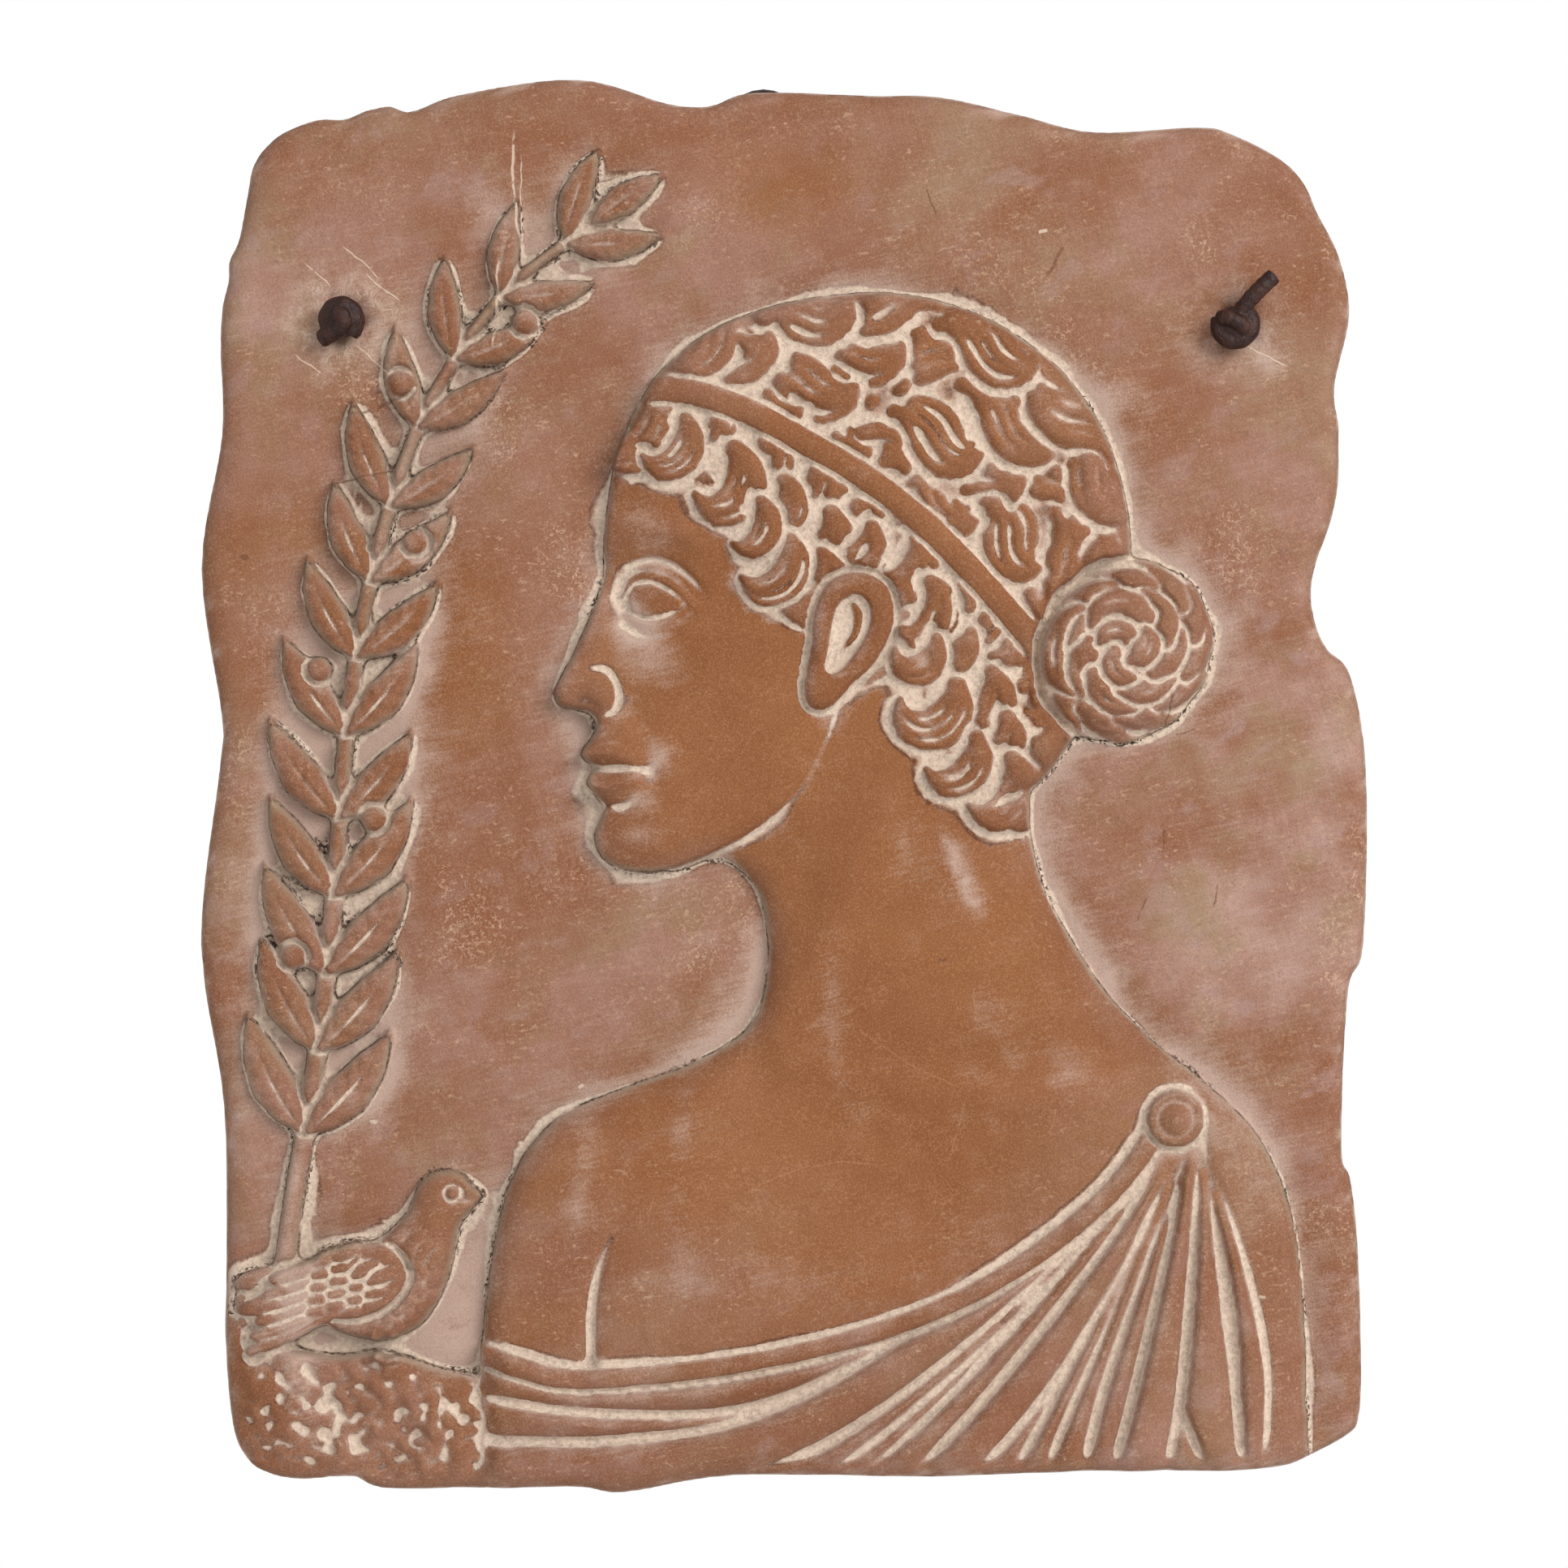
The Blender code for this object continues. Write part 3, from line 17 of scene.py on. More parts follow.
import bmesh
import bpy
import numpy as np
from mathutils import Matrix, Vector


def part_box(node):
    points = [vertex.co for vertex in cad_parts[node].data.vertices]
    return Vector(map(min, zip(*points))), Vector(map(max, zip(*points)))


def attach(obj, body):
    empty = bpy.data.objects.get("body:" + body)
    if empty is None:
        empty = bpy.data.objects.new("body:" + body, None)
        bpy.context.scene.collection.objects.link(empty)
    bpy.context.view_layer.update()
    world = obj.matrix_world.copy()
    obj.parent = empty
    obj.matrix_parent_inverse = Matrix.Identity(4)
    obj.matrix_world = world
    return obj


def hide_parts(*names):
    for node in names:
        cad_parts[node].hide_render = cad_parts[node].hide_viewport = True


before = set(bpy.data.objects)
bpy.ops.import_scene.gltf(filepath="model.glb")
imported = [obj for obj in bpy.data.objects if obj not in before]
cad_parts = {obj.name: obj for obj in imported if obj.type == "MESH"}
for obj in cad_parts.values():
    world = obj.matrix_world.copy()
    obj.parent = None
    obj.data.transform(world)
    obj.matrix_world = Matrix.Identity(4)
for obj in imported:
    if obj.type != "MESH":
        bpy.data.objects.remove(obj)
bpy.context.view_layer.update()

MM = 0.001
TAU = 2 * math.pi
Array = np.ndarray
Point = Sequence[float]
Points = Sequence[Sequence[float]]
Window = tuple[slice, slice]
Section = Callable[[Array, Array], Array]
Object = bpy.types.Object
Material = bpy.types.Material
Socket = bpy.types.NodeSocket
Value = Socket | float | tuple
WHOLE: Window = (slice(None), slice(None))
log = logging.getLogger("plaque")


class Wash(Enum):
    """What lies on the clay, each with its own weight at every point of the mesh."""

    SLIP = "slip"
    HALO = "halo"
    SOOT = "soot"
    RUBBED = "rubbed"
    HAZE = "haze"
    EDGE = "edge"
    RIM = "rim"


class Node(Enum):
    """The solids that the pieces stand for."""

    PLAQUE = "terracotta_plaque"
    LACE = "leather_lace"


def listed(kind: type, *rows: Point) -> tuple:
    """Make one of a kind from each row of its numbers."""
    return tuple(kind(*row) for row in rows)


# ---- lines ----
def smooth(points: Points, per_span: int = 8, closed: bool = False) -> Array:
    """Draw a Catmull-Rom curve through points.

    Args:
        points: The points, in two or three coordinates.
        per_span: Steps between one point and the next.
        closed: Whether the curve runs on from the last point to the first.

    Returns:
        The curve's points; a closed one ends on its first point.
    """
    p = np.asarray(points, float)
    if closed:
        q = np.vstack([p[-1], p, p[:2]])
    else:
        q = np.vstack([2 * p[0] - p[1], p, 2 * p[-1] - p[-2]])
    t = np.arange(per_span)[:, None] / per_span
    runs = []
    for a, b, c, d in zip(q, q[1:], q[2:], q[3:]):
        bend = (2 * a - 5 * b + 4 * c - d) * t ** 2 + (3 * b - a - 3 * c + d) * t ** 3
        runs.append(0.5 * (2 * b + (c - a) * t + bend))
    line = np.vstack(runs)
    return np.vstack([line, line[:1] if closed else p[-1:]])


def walked(line: Array) -> Array:
    """Length along a line at each of its points."""
    return np.concatenate([[0], np.cumsum(np.linalg.norm(np.diff(line, axis=0), axis=1))])


def at_shares(line: Array, length: Array, at: Array) -> Array:
    """Points of a line where its length, given at each of its points, is as asked."""
    return np.stack([np.interp(at, length, axis) for axis in line.T], 1)


def spaced(line: Points, count: int) -> Array:
    """Return the same line as evenly spaced points."""
    length = walked(line)
    return at_shares(np.asarray(line, float), length, np.linspace(0, length[-1], count))


def towards(angle: float | Array) -> Array:
    """A step of 1 in a direction."""
    return np.stack([np.cos(angle), np.sin(angle)], -1)


def bearing(step: Point) -> float:
    """Direction of a step, in radians."""
    return math.atan2(step[1], step[0])


def curl(root: Point, heading: float, length: float, turn: float, points: int = 14,
         tighten: float = 1.2) -> Array:
    """Draw a line that turns steadily.

    Args:
        root: Its first point.
        heading: Its direction there, in radians.
        length: Its length.
        turn: How far it turns in all, in radians.
        points: How many steps it has.
        tighten: Above 1, the turn comes late along it.

    Returns:
        The line's points.
    """
    share = (np.arange(points) + 0.5) / points
    steps = length / points * towards(heading + turn * share ** tighten)
    return np.vstack([root, np.asarray(root) + np.cumsum(steps, 0)])


def closed_ring(*lines: Points) -> Array:
    """Join lines end to end and back to the first point."""
    ring = np.vstack(lines)
    return np.vstack([ring, ring[:1]])


def dome(share: Array) -> Array:
    """1 in the middle of a strip, round down to 0 at its edges (share -1 and 1)."""
    return np.sqrt(np.clip(1 - share * share, 0, 1))


def roll(depth: Array, run: float) -> Array:
    """Quarter round: 0 at an edge, 1 from run inwards."""
    return dome(1 - np.clip(depth / run, 0, 1))


def ease(share: Array) -> Array:
    """Smooth step from 0 to 1."""
    share = np.clip(share, 0, 1)
    return share * share * (3 - 2 * share)


def bell(distance: Array, width: float) -> Array:
    """1 on a line, falling softly over a width."""
    return np.exp(-(distance / width) ** 2)


def spline_weights(places: Array) -> tuple[Array, Array]:
    """Spread places over the knots of a cubic spline.

    Args:
        places: The places, in steps from one knot to the next.

    Returns:
        The first of the four knots round each place, and each knot's share in it.
    """
    knot = np.floor(places).astype(int)
    f = places - knot
    curve = [(1 - f) ** 3, 3 * f ** 3 - 6 * f ** 2 + 4, -3 * f ** 3 + 3 * f ** 2 + 3 * f + 1,
             f ** 3]
    return knot, np.stack(curve) / 6


# ---- the map of heights ----
@dataclass
class Trace:
    """The neighbourhood of a line: where each point is as seen from the line."""

    win: Window
    distance: Array
    share: Array
    side: Array


@dataclass
class Clay:
    """Heights over the slab's plane, and where the figures are raised from it."""

    pitch: float
    half_width: float = 141.0
    half_height: float = 170.0
    reach: float = 3.2
    noise_spread: float = 0.48
    x: Array = field(init=False)
    z: Array = field(init=False)
    height: Array = field(init=False)
    raised: Array = field(init=False)

    def __post_init__(self) -> None:
        """Lay out an even sheet of clay."""
        self.x = np.arange(-self.half_width, self.half_width + self.pitch / 2, self.pitch)
        self.z = np.arange(-self.half_height, self.half_height + self.pitch / 2, self.pitch)
        self.height = np.zeros((len(self.z), len(self.x)))
        self.raised = np.zeros(self.height.shape, bool)

    def window(self, low: Point, high: Point) -> Window:
        """Rows and columns between two corners."""
        spans = zip((self.z, self.x), zip(low[::-1], high[::-1]))
        return tuple(slice(*np.searchsorted(axis, span)) for axis, span in spans)

    def offsets(self, centre: Point, win: Window = WHOLE) -> tuple:
        """How far right of and above a centre the points are, as a row and a column."""
        return self.x[win[1]][None, :] - centre[0], self.z[win[0]][:, None] - centre[1]

    def oval(self, centre: Point, radii: Point, turn: float = 0.0) -> Array:
        """Measure from a centre by an oval.

        Args:
            centre: The oval's middle.
            radii: Its radii along and across.
            turn: How far it is turned, in radians.

        Returns:
            0 in the middle and 1 on the oval, as a map.
        """
        dx, dz = self.offsets(centre)
        c, s = math.cos(turn), math.sin(turn)
        return np.hypot((dx * c + dz * s) / radii[0], (dz * c - dx * s) / radii[1])

    def trace(self, line: Points, reach: float) -> Trace:
        """Measure from a line.

        Args:
            line: The line's points.
            reach: How far from it to look.

        Returns:
            For each point nearby its distance, the share along the line of the nearest
            place on it, and which side it is on (1 left, -1 right).
        """
        line = np.asarray(line, float)
        win = self.window(line.min(0) - reach, line.max(0) + reach)
        corner = win[0].start, win[1].start
        distance = np.full(self.height[win].shape, float(reach))
        share, side = np.zeros_like(distance), np.ones_like(distance)
        along = walked(line)
        along /= along[-1]
        for k, (a, b) in enumerate(zip(line[:-1], line[1:])):
            step, length = b - a, np.hypot(*(b - a))
            if length == 0:
                continue
            part = self.window(np.minimum(a, b) - reach, np.maximum(a, b) + reach)
            dx, dz = self.offsets(a, part)
            part = tuple(slice(s.start - c, s.stop - c) for s, c in zip(part, corner))
            t = np.clip((dx * step[0] + dz * step[1]) / length ** 2, 0, 1)
            far = np.hypot(dx - t * step[0], dz - t * step[1])
            near = far < distance[part]
            distance[part][near] = far[near]
            share[part][near] = (along[k] + t * (along[k + 1] - along[k]))[near]
            side[part][near] = np.where(step[0] * dz >= step[1] * dx, 1.0, -1.0)[near]
        return Trace(win, distance, share, side)

    def distance(self, line: Points, reach: float) -> Array:
        """Measure how far from a line the clay is.

        Args:
            line: The line's points.
            reach: How far from it to look.

        Returns:
            The distance, at most reach, as a map.
        """
        near = self.trace(line, reach)
        whole = np.full(self.height.shape, float(reach))
        whole[near.win] = near.distance
        return whole

    def inside(self, ring: Array) -> Array:
        """Find what is inside a ring.

        Args:
            ring: The ring's points, the last one on the first.

        Returns:
            Whether each point is inside, as a map.
        """
        within = np.zeros(self.height.shape, bool)
        for (ax, az), (bx, bz) in zip(ring[:-1], ring[1:]):
            rows = np.where((az > self.z) != (bz > self.z))[0]
            if len(rows):
                crossing = ax + (self.z[rows] - az) / (bz - az) * (bx - ax)
                within[rows] ^= self.x[None, :] < crossing[:, None]
        return within

    def depth(self, ring: Array, reach: float) -> Array:
        """Depth inside a closed ring, negative outside it, as a map."""
        distance = self.distance(ring, reach)
        return np.where(self.inside(ring), distance, -distance)

    def lay(self, mask: Array, height: Array, win: Window = WHOLE) -> None:
        """Put clay down where the mask says."""
        self.height[win] = np.where(mask, height, self.height[win])
        self.raised[win] |= mask

    def cap(self, mask: Array, level: float) -> None:
        """Cut raised clay down to a level where the mask says."""
        capped = np.minimum(self.height, level)
        self.height = np.where(mask & self.raised, capped, self.height)

    def swell(self, centre: Point, radii: Point, rise: float, turn: float = 0.0,
              within: Array | None = None, power: float = 1.0) -> None:
        """Raise a soft mound, or hollow one.

        Args:
            centre: Its middle.
            radii: Its half sizes along and across.
            rise: Its height, negative for a hollow.
            turn: How far it is turned, in radians.
            within: Where it may be.
            power: Above 1, flatter on top and steeper at the side.
        """
        mound = rise * np.exp(-0.5 * self.oval(centre, radii, turn) ** (2 * power))
        if within is not None:
            mound = mound * within
        reach = self.reach * max(radii)
        win = self.window(np.asarray(centre) - reach, np.asarray(centre) + reach)
        self.height[win] += mound[win]

    def score(self, line: Points, width: float, rise: float, within: Array | None = None,
              taper: Point = (1, 1)) -> None:
        """Raise a soft ridge along a line, or sink a groove.

        Args:
            line: The line's points.
            width: Half the width of the ridge.
            rise: Its height, negative for a groove.
            within: Where it may be.
            taper: Shares of the height at even steps along the line.
        """
        near = self.trace(line, self.reach * width)
        amount = rise * bell(near.distance, width)
        amount *= np.interp(near.share, np.linspace(0, 1, len(taper)), taper)
        self.height[near.win] += amount if within is None else amount * within[near.win]

    def strip(self, line: Points, half: float, taper: tuple[Point, Point],
              base: Array | float, section: Section, gutter: float = 0.25,
              gap: float = 1.2, within: Array | None = None, lean: float = 0.0) -> None:
        """Lay a strip of clay along a line, with a cut beside it.

        Args:
            line: The line's points.
            half: Half the strip's greatest width.
            taper: Shares along the line, and the share of the half-width at each.
            base: Level that the strip stands on.
            section: Height over the base, from the shares across and along.
            gutter: Level of the cut beside it, over the base.
            gap: Width of the cut.
            within: Where the strip and its cut may be.
            lean: How much wider the cut is on the right of the line than on its left.
        """
        near = self.trace(line, half + gap * (1 + lean))
        width = half * np.interp(near.share, *taper)
        mask = near.distance < width
        beside = near.distance < width + gap * (1 - lean * near.side)
        beside &= ~mask & self.raised[near.win]
        if within is not None:
            mask &= within[near.win]
            beside &= within[near.win]
        floor = np.broadcast_to(base, self.height.shape)[near.win]
        old = self.height[near.win]
        self.height[near.win] = np.where(beside, np.minimum(old, floor + gutter), old)
        across = np.clip(near.side * near.distance / np.maximum(width, 1e-6), -1, 1)
        self.lay(mask, floor + section(across, near.share), near.win)

    def blurred(self, values: Array, sigma: float) -> Array:
        """Blur a map softly.

        Args:
            values: The map.
            sigma: How far it is blurred, in millimetres.

        Returns:
            The blurred map.
        """
        pad = int(3 * sigma / self.pitch) + 1
        padded = np.pad(values, pad, mode="edge")
        fz = np.fft.fftfreq(padded.shape[0])[:, None]
        fx = np.fft.rfftfreq(padded.shape[1])[None, :]
        falloff = np.exp(-2 * (math.pi * sigma / self.pitch) ** 2 * (fz ** 2 + fx ** 2))
        out = np.fft.irfft2(np.fft.rfft2(padded) * falloff, s=padded.shape)
        return out[pad:-pad, pad:-pad]

    def noise(self, size: float, seed: int) -> Array:
        """Make smooth noise, the same at any pitch.

        Args:
            size: Size of its lumps in millimetres.
            seed: Which noise.

        Returns:
            The noise, about 0, as a map.
        """
        column, across = spline_weights((self.x - self.x[0]) / size)
        row, up = spline_weights((self.z - self.z[0]) / size)
        knots = np.random.default_rng(seed).standard_normal((row[-1] + 4, column[-1] + 4))
        rows = sum(up[k][:, None] * knots[row + k] for k in range(4))
        noise = sum(across[k][None, :] * rows[:, column + k] for k in range(4))
        return noise / self.noise_spread

    def sampled(self, values: Array, points: Array) -> Array:
        """Read a map between its points.

        Args:
            values: The map.
            points: Points of the slab's plane.

        Returns:
            The map's value at each.
        """
        column = np.clip((points[:, 0] - self.x[0]) / self.pitch, 0, len(self.x) - 1.001)
        row = np.clip((points[:, 1] - self.z[0]) / self.pitch, 0, len(self.z) - 1.001)
        c, r = column.astype(int), row.astype(int)
        fc, fr = column - c, row - r
        low, high = (values[k, c] * (1 - fc) + values[k, c + 1] * fc for k in (r, r + 1))
        return low * (1 - fr) + high * fr


# ---- sections of the strips ----
LOCK_TAPER = ([0, 0.18, 0.45, 0.75, 1], [0.45, 0.85, 1, 0.8, 0.15])
FEATHER_TAPER = ([0, 0.18, 0.45, 0.75, 1], [0.8, 0.85, 1, 0.95, 0.6])
WAVE_TAPER = ([0, 0.15, 0.4, 0.7, 0.9, 1], [0.25, 0.72, 1, 0.95, 0.55, 0.1])
LEAF_TAPER = ([0, 0.12, 0.4, 0.7, 1], [0.18, 0.62, 1, 0.72, 0.06])
EVEN_TAPER = ([0, 1], [1, 1])


@dataclass(frozen=True)
class Lock:
    """Section of a lock of hair: round, and cut along by tapered grooves.

    A cut has its place across, its depth, the shares along where it starts and ends, and
    its half-width.
    """

    rise: float
    cuts: Points = ()

    def __call__(self, across: Array, share: Array) -> Array:
        """Work out the lock's height over its base.

        Args:
            across: Shares across it, -1 and 1 at its edges.
            share: Shares along it.

        Returns:
            The heights.
        """
        fade = np.interp(share, [0, 0.1, 0.5, 1], [0.55, 0.9, 1, 0.75])
        height = 0.3 + self.rise * dome(across) * fade
        for place, depth, start, end, width in self.cuts:
            reach = ease((share - start) / 0.25) * ease((end - share) / 0.3)
            height -= depth * reach * bell(across - place, width * (0.5 + 0.5 * reach))
        return height

    @classmethod
    def combed(cls, rng: np.random.Generator, rise: float, count: int, depth: float,
               width: float = 0.14) -> Lock:
        """Cut a lock along, no two cuts alike.

        Args:
            rng: Where chance comes from.
            rise: The lock's height.
            count: Number of cuts.
            depth: Their greatest depth.
            width: Their half-width, as a share.

        Returns:
            The section.
        """
        cuts = []
        for place in np.linspace(-1, 1, count + 2)[1:-1]:
            chance = rng.random(4)
            cuts.append((place + 0.08 * rng.standard_normal(), depth * (0.55 + 0.45 * chance[0]),
                         0.02 + 0.25 * chance[1], 0.75 + 0.27 * chance[2],
                         width * (0.8 + 0.8 * chance[3])))
        return cls(rise, tuple(cuts))


@dataclass(frozen=True)
class Leaf:
    """Section of a laurel blade, with a groove for its midrib and faint side ribs."""

    rise: float = 2.7
    ribs: int = 7

    def __call__(self, across: Array, share: Array) -> Array:
        """Work out the blade's height over its base.

        Args:
            across: Shares across it, -1 and 1 at its edges.
            share: Shares along it.

        Returns:
            The heights.
        """
        body = np.sqrt(np.clip(1 - np.abs(across) ** 2.2, 0, 1))
        fade = np.interp(share, [0, 0.2, 0.6, 1], [0.7, 1, 1, 0.7])
        rib = (0.5 + 0.5 * np.cos(TAU * (self.ribs * share - 0.9 * np.abs(across)))) ** 3
        blade = 0.9 + self.rise * body * fade - 1.5 * bell(across, 0.10) * ease(1.15 - share)
        return blade - 0.5 * rib * (np.abs(across) > 0.15)


@dataclass(frozen=True)
class Fold:
    """Section of a fold of cloth, steeper on one side."""

    rise: float

    def __call__(self, across: Array, share: Array) -> Array:
        """Work out its height over its base, from the shares across and along it."""
        crown = np.sqrt(np.clip(1 - (np.abs(across + 0.25) / 1.25) ** 1.8, 0, 1))
        return self.rise * crown * np.interp(share, [0, 0.1, 0.5, 1], [0.5, 0.9, 1, 0.85]) - 0.5


def band_section(across: Array, _: Array) -> Array:
    """A flat band with a groove along each edge."""
    flat = 1.9 * np.sqrt(np.clip(1 - across ** 6, 0, 1))
    return flat - 0.5 * bell(np.abs(across) - 0.62, 0.13)


def hem_section(across: Array, share: Array) -> Array:
    """A rolled hem, faintly pinched along its length."""
    return (1.9 + 0.22 * np.sin(TAU * 13 * share)) * dome(across)


def stem_section(across: Array, _: Array) -> Array:
    """A round stem."""
    return 0.5 + 2.6 * dome(across)


# ---- figures ----
@dataclass(frozen=True)
class Place:
    """A figure's own frame on the slab's plane."""

    x: float = 0.0
    z: float = 0.0
    scale: float = 1.0
    turn: float = 0.0

    def on(self, points: Points) -> Array:
        """Take points from the figure's own frame to the slab's plane."""
        c, s = math.cos(self.turn), math.sin(self.turn)
        return (self.x, self.z) + self.scale * np.asarray(points, float) @ ((c, s), (-s, c))


# The frame in which the head and its hair are drawn.
HEAD = Place(14, -20, 1.08)


@dataclass
class Figure:
    """A figure that is modelled into the clay."""

    clay: Clay
    place: Place = Place()

    def mound(self, centre: Point, radii: Point, rise: float, turn: float = 0.0,
              within: Array | None = None, power: float = 1.0) -> None:
        """Swell the clay at a place of the figure's own frame, as Clay.swell does."""
        radii = np.multiply(radii, self.place.scale)
        self.clay.swell(self.place.on(centre), radii, rise, turn, within, power)

    def line(self, points: Points, width: float, rise: float, within: Array | None = None,
             taper: Point = (1, 1)) -> None:
        """Score a smooth line of the figure's own frame, as Clay.score does."""
        self.clay.score(smooth(self.place.on(points)), width, rise, within, taper)

    def shape(self, outline: Points, reach: float) -> Array:
        """Depth inside a smooth outline of the figure's own frame, as a map."""
        return self.clay.depth(smooth(self.place.on(outline), 8, True), reach)


@dataclass
class Bust(Figure):
    """Neck, shoulders, breast and the head in profile, without its hair."""

    place: Place = HEAD
    profile: Points = (
        (-45.5, 97), (-49, 88), (-50.8, 78), (-51.6, 70), (-51.6, 64), (-54, 56), (-57.6, 47.5),
        (-61.3, 40.5), (-62.3, 37.6), (-60.6, 34.9), (-56, 34.2), (-53.4, 32.6), (-53.4, 30),
        (-55, 27.4), (-56.6, 25.2), (-55.4, 23.1), (-53, 22.1), (-54.6, 20.8), (-55.3, 18.4),
        (-53.2, 15.8), (-51.6, 13.6), (-52.6, 10.6), (-53.6, 7), (-52, 2.6), (-47.5, 0))
    jaw: Points = ((-47.5, 0), (-40, -0.2), (-30, 3), (-19, 9), (-9.5, 17.5), (-3.5, 28), (0, 38))
    under_hair: Points = ((30, 50), (30, 80), (10, 110), (-20, 112), (-38, 104))
    neck_front: Points = (
        (-10, 50), (-38, 3), (-27, 2.5), (-19.5, -3), (-16.6, -13), (-17, -25), (-21, -34))
    neck_back: Points = ((50, -17), (42.5, -3), (39.5, 13), (41, 30), (30, 60))
    shoulders: Points = (
        (-20, -64), (-36, -70), (-52, -77), (-62, -89), (-67, -106), (-70, -130), (-70, -152),
        (-68, -182), (0, -182), (80, -182), (121, -182), (121, -150), (120, -120), (117, -98),
        (110, -82), (98, -69.5), (86, -60), (76, -50))
    eyeball: Points = (
        (-46.2, 57.8), (-45, 60.9), (-41.6, 61.3), (-37.6, 59.4), (-34, 56.8), (-37.6, 55.2),
        (-41.6, 54.4), (-45, 55))
    ear_rim: Points = (
        (-5.5, -2), (-6.3, 5), (-4.5, 12), (1.5, 15.4), (8, 13.5), (10.8, 6.5), (9.2, -2),
        (5, -8.5), (1.5, -14), (-2.5, -15.2), (-5, -11.5))
    ear_hollow: Points = (
        (-2.4, 1), (-2.2, 7), (0.8, 10.6), (4.6, 9.6), (6.2, 5), (4.8, -1), (2.2, -6), (-0.6, -7.4),
        (-2.2, -5))
    body_depth: Array = field(init=False)

    def model_body(self) -> None:
        """One silhouette, softly muscled."""
        clay = self.clay
        torso = np.vstack([HEAD.on(self.neck_front), self.shoulders, HEAD.on(self.neck_back)])
        depth = clay.depth(smooth(torso, 8, True), 26)
        clay.lay(depth > 0, 4.4 * roll(depth, 6.5) + 2.0 * ease(depth / 24))
        self.body_depth = np.clip(depth, 0, None)
        body = clay.raised.copy()
        clay.swell(HEAD.on((12, -4)), (30, 22), -1.1, within=body)
        self.line([(12, 26), (2, 2), (-8, -20), (-15, -36)], 6.0, 1.5, body, (0.4, 1, 1, 0.4))
        pit = HEAD.on((-19, -41))
        for end, rise in (((-52, -78), 1.0), ((92, -72), 0.9)):
            start = pit + [math.copysign(3, end[0]), -1]
            bone = smooth([start, 0.5 * (pit + end) - [0, 5], end], 10)
            clay.score(bone, 3.6, rise, body, (0.3, 1, 1, 0))
            clay.score(bone + [0, 8.5], 5.5, -0.8, body, (0, 1, 0))
        clay.swell(pit - [0, 1], (4.5, 4), -1.3, within=body)
        clay.swell((-48, -94), (16, 16), 1.4, within=body)
        clay.swell((4, -112), (28, 18), 1.5, within=body)
        crease = smooth([(-36, -99), (-41, -107), (-44.2, -119), (-44.5, -136)])
        clay.score(crease, 4.0, -0.7, body, (0, 0.5, 1, 0.5))
        clay.score(crease, 1.3, -2.0, body, (0, 0.6, 1, 1))

    def model_face(self) -> None:
        """The head, its edge crisp against the ground and soft along the jaw."""
        clay = self.clay
        profile, jaw = (smooth(HEAD.on(line), 6) for line in (self.profile, self.jaw))
        face = clay.inside(closed_ring(profile, jaw[1:], HEAD.on(self.under_hair)))
        to_profile, to_jaw = clay.distance(profile, 60), clay.distance(jaw, 40)
        crown = 3.6 * (1 - np.exp(-to_profile / 15)) - 2.7 * (1 - roll(to_jaw, 11))
        weight = clay.blurred(face.astype(float), 2.2)
        crown = clay.blurred(np.where(face, crown, 0), 2.2) / np.maximum(weight, 0.05)
        clay.score(jaw[4:-8] + [1.5, -2.0], 7.5, -1.7, clay.raised, (1, 1, 1, 0.3))
        clay.lay(face, 3.3 * roll(to_profile, 1.8) + crown - 0.9 * (1 - roll(to_jaw, 1.6)))
        self.model_eye(face)
        self.model_nose_and_mouth(face)

    def model_eye(self, face: Array) -> None:
        """Socket, brow, eyeball and lids, and the cheek and temple round them.

        Args:
            face: Where the face is.
        """
        for centre, radii, rise, turn in (
                ((-43, 60.5), (8.5, 5.4), -3.0, 0.1), ((-49, 60.5), (3.6, 5.4), -1.5, 0),
                ((-27, 47), (11, 7.5), 1.3, -0.35), ((-30, 26), (8, 9), -0.9, 0.3),
                ((-14, 25), (9, 9), 0.6, 0), ((-33, 85), (12, 9), 0.8, 0),
                ((-20, 62), (6, 7), -0.8, 0)):
            self.mound(centre, radii, rise, turn, face)
        self.line([(-50.5, 69.5), (-44, 72.5), (-36, 72), (-29, 68)], 2.8, 1.35, face,
                  (1, 1, 0.9, 0.3))
        depth = self.clay.depth(smooth(HEAD.on(self.eyeball), 6, True), 8)
        bulge = dome(self.clay.oval(HEAD.on((-41.6, 57.7)), np.multiply((7.6, 5.4), HEAD.scale)))
        self.clay.height += np.where(depth > 0, 2.6 * bulge + 0.3 * roll(depth, 0.8) - 0.6, 0)
        for points, width, rise, taper in (
                ([(-47.4, 58.4), (-45.4, 61.9), (-41.4, 62.7), (-37, 60.9), (-33.2, 57.4),
                  (-31, 55.2)], 0.9, 1.6, (0.7, 1, 1, 1, 0.8, 0.2)),
                ([(-46.6, 65.0), (-41.4, 66.4), (-36, 64.8), (-31.5, 60.8), (-29, 57)], 0.8,
                 -1.25, (0.4, 1, 1, 0.7, 0.1)),
                ([(-46.4, 54.4), (-42, 52.6), (-37.5, 53.4), (-33.6, 56.0)], 0.8, 1.0,
                 (0.6, 1, 0.9, 0.5)),
                ([(-47.4, 52.4), (-43, 49.8), (-37.5, 50.2), (-32.5, 53.0)], 1.1, -0.7,
                 (1, 0.9, 0.6, 0.1))):
            self.line(points, width, rise, face, taper)

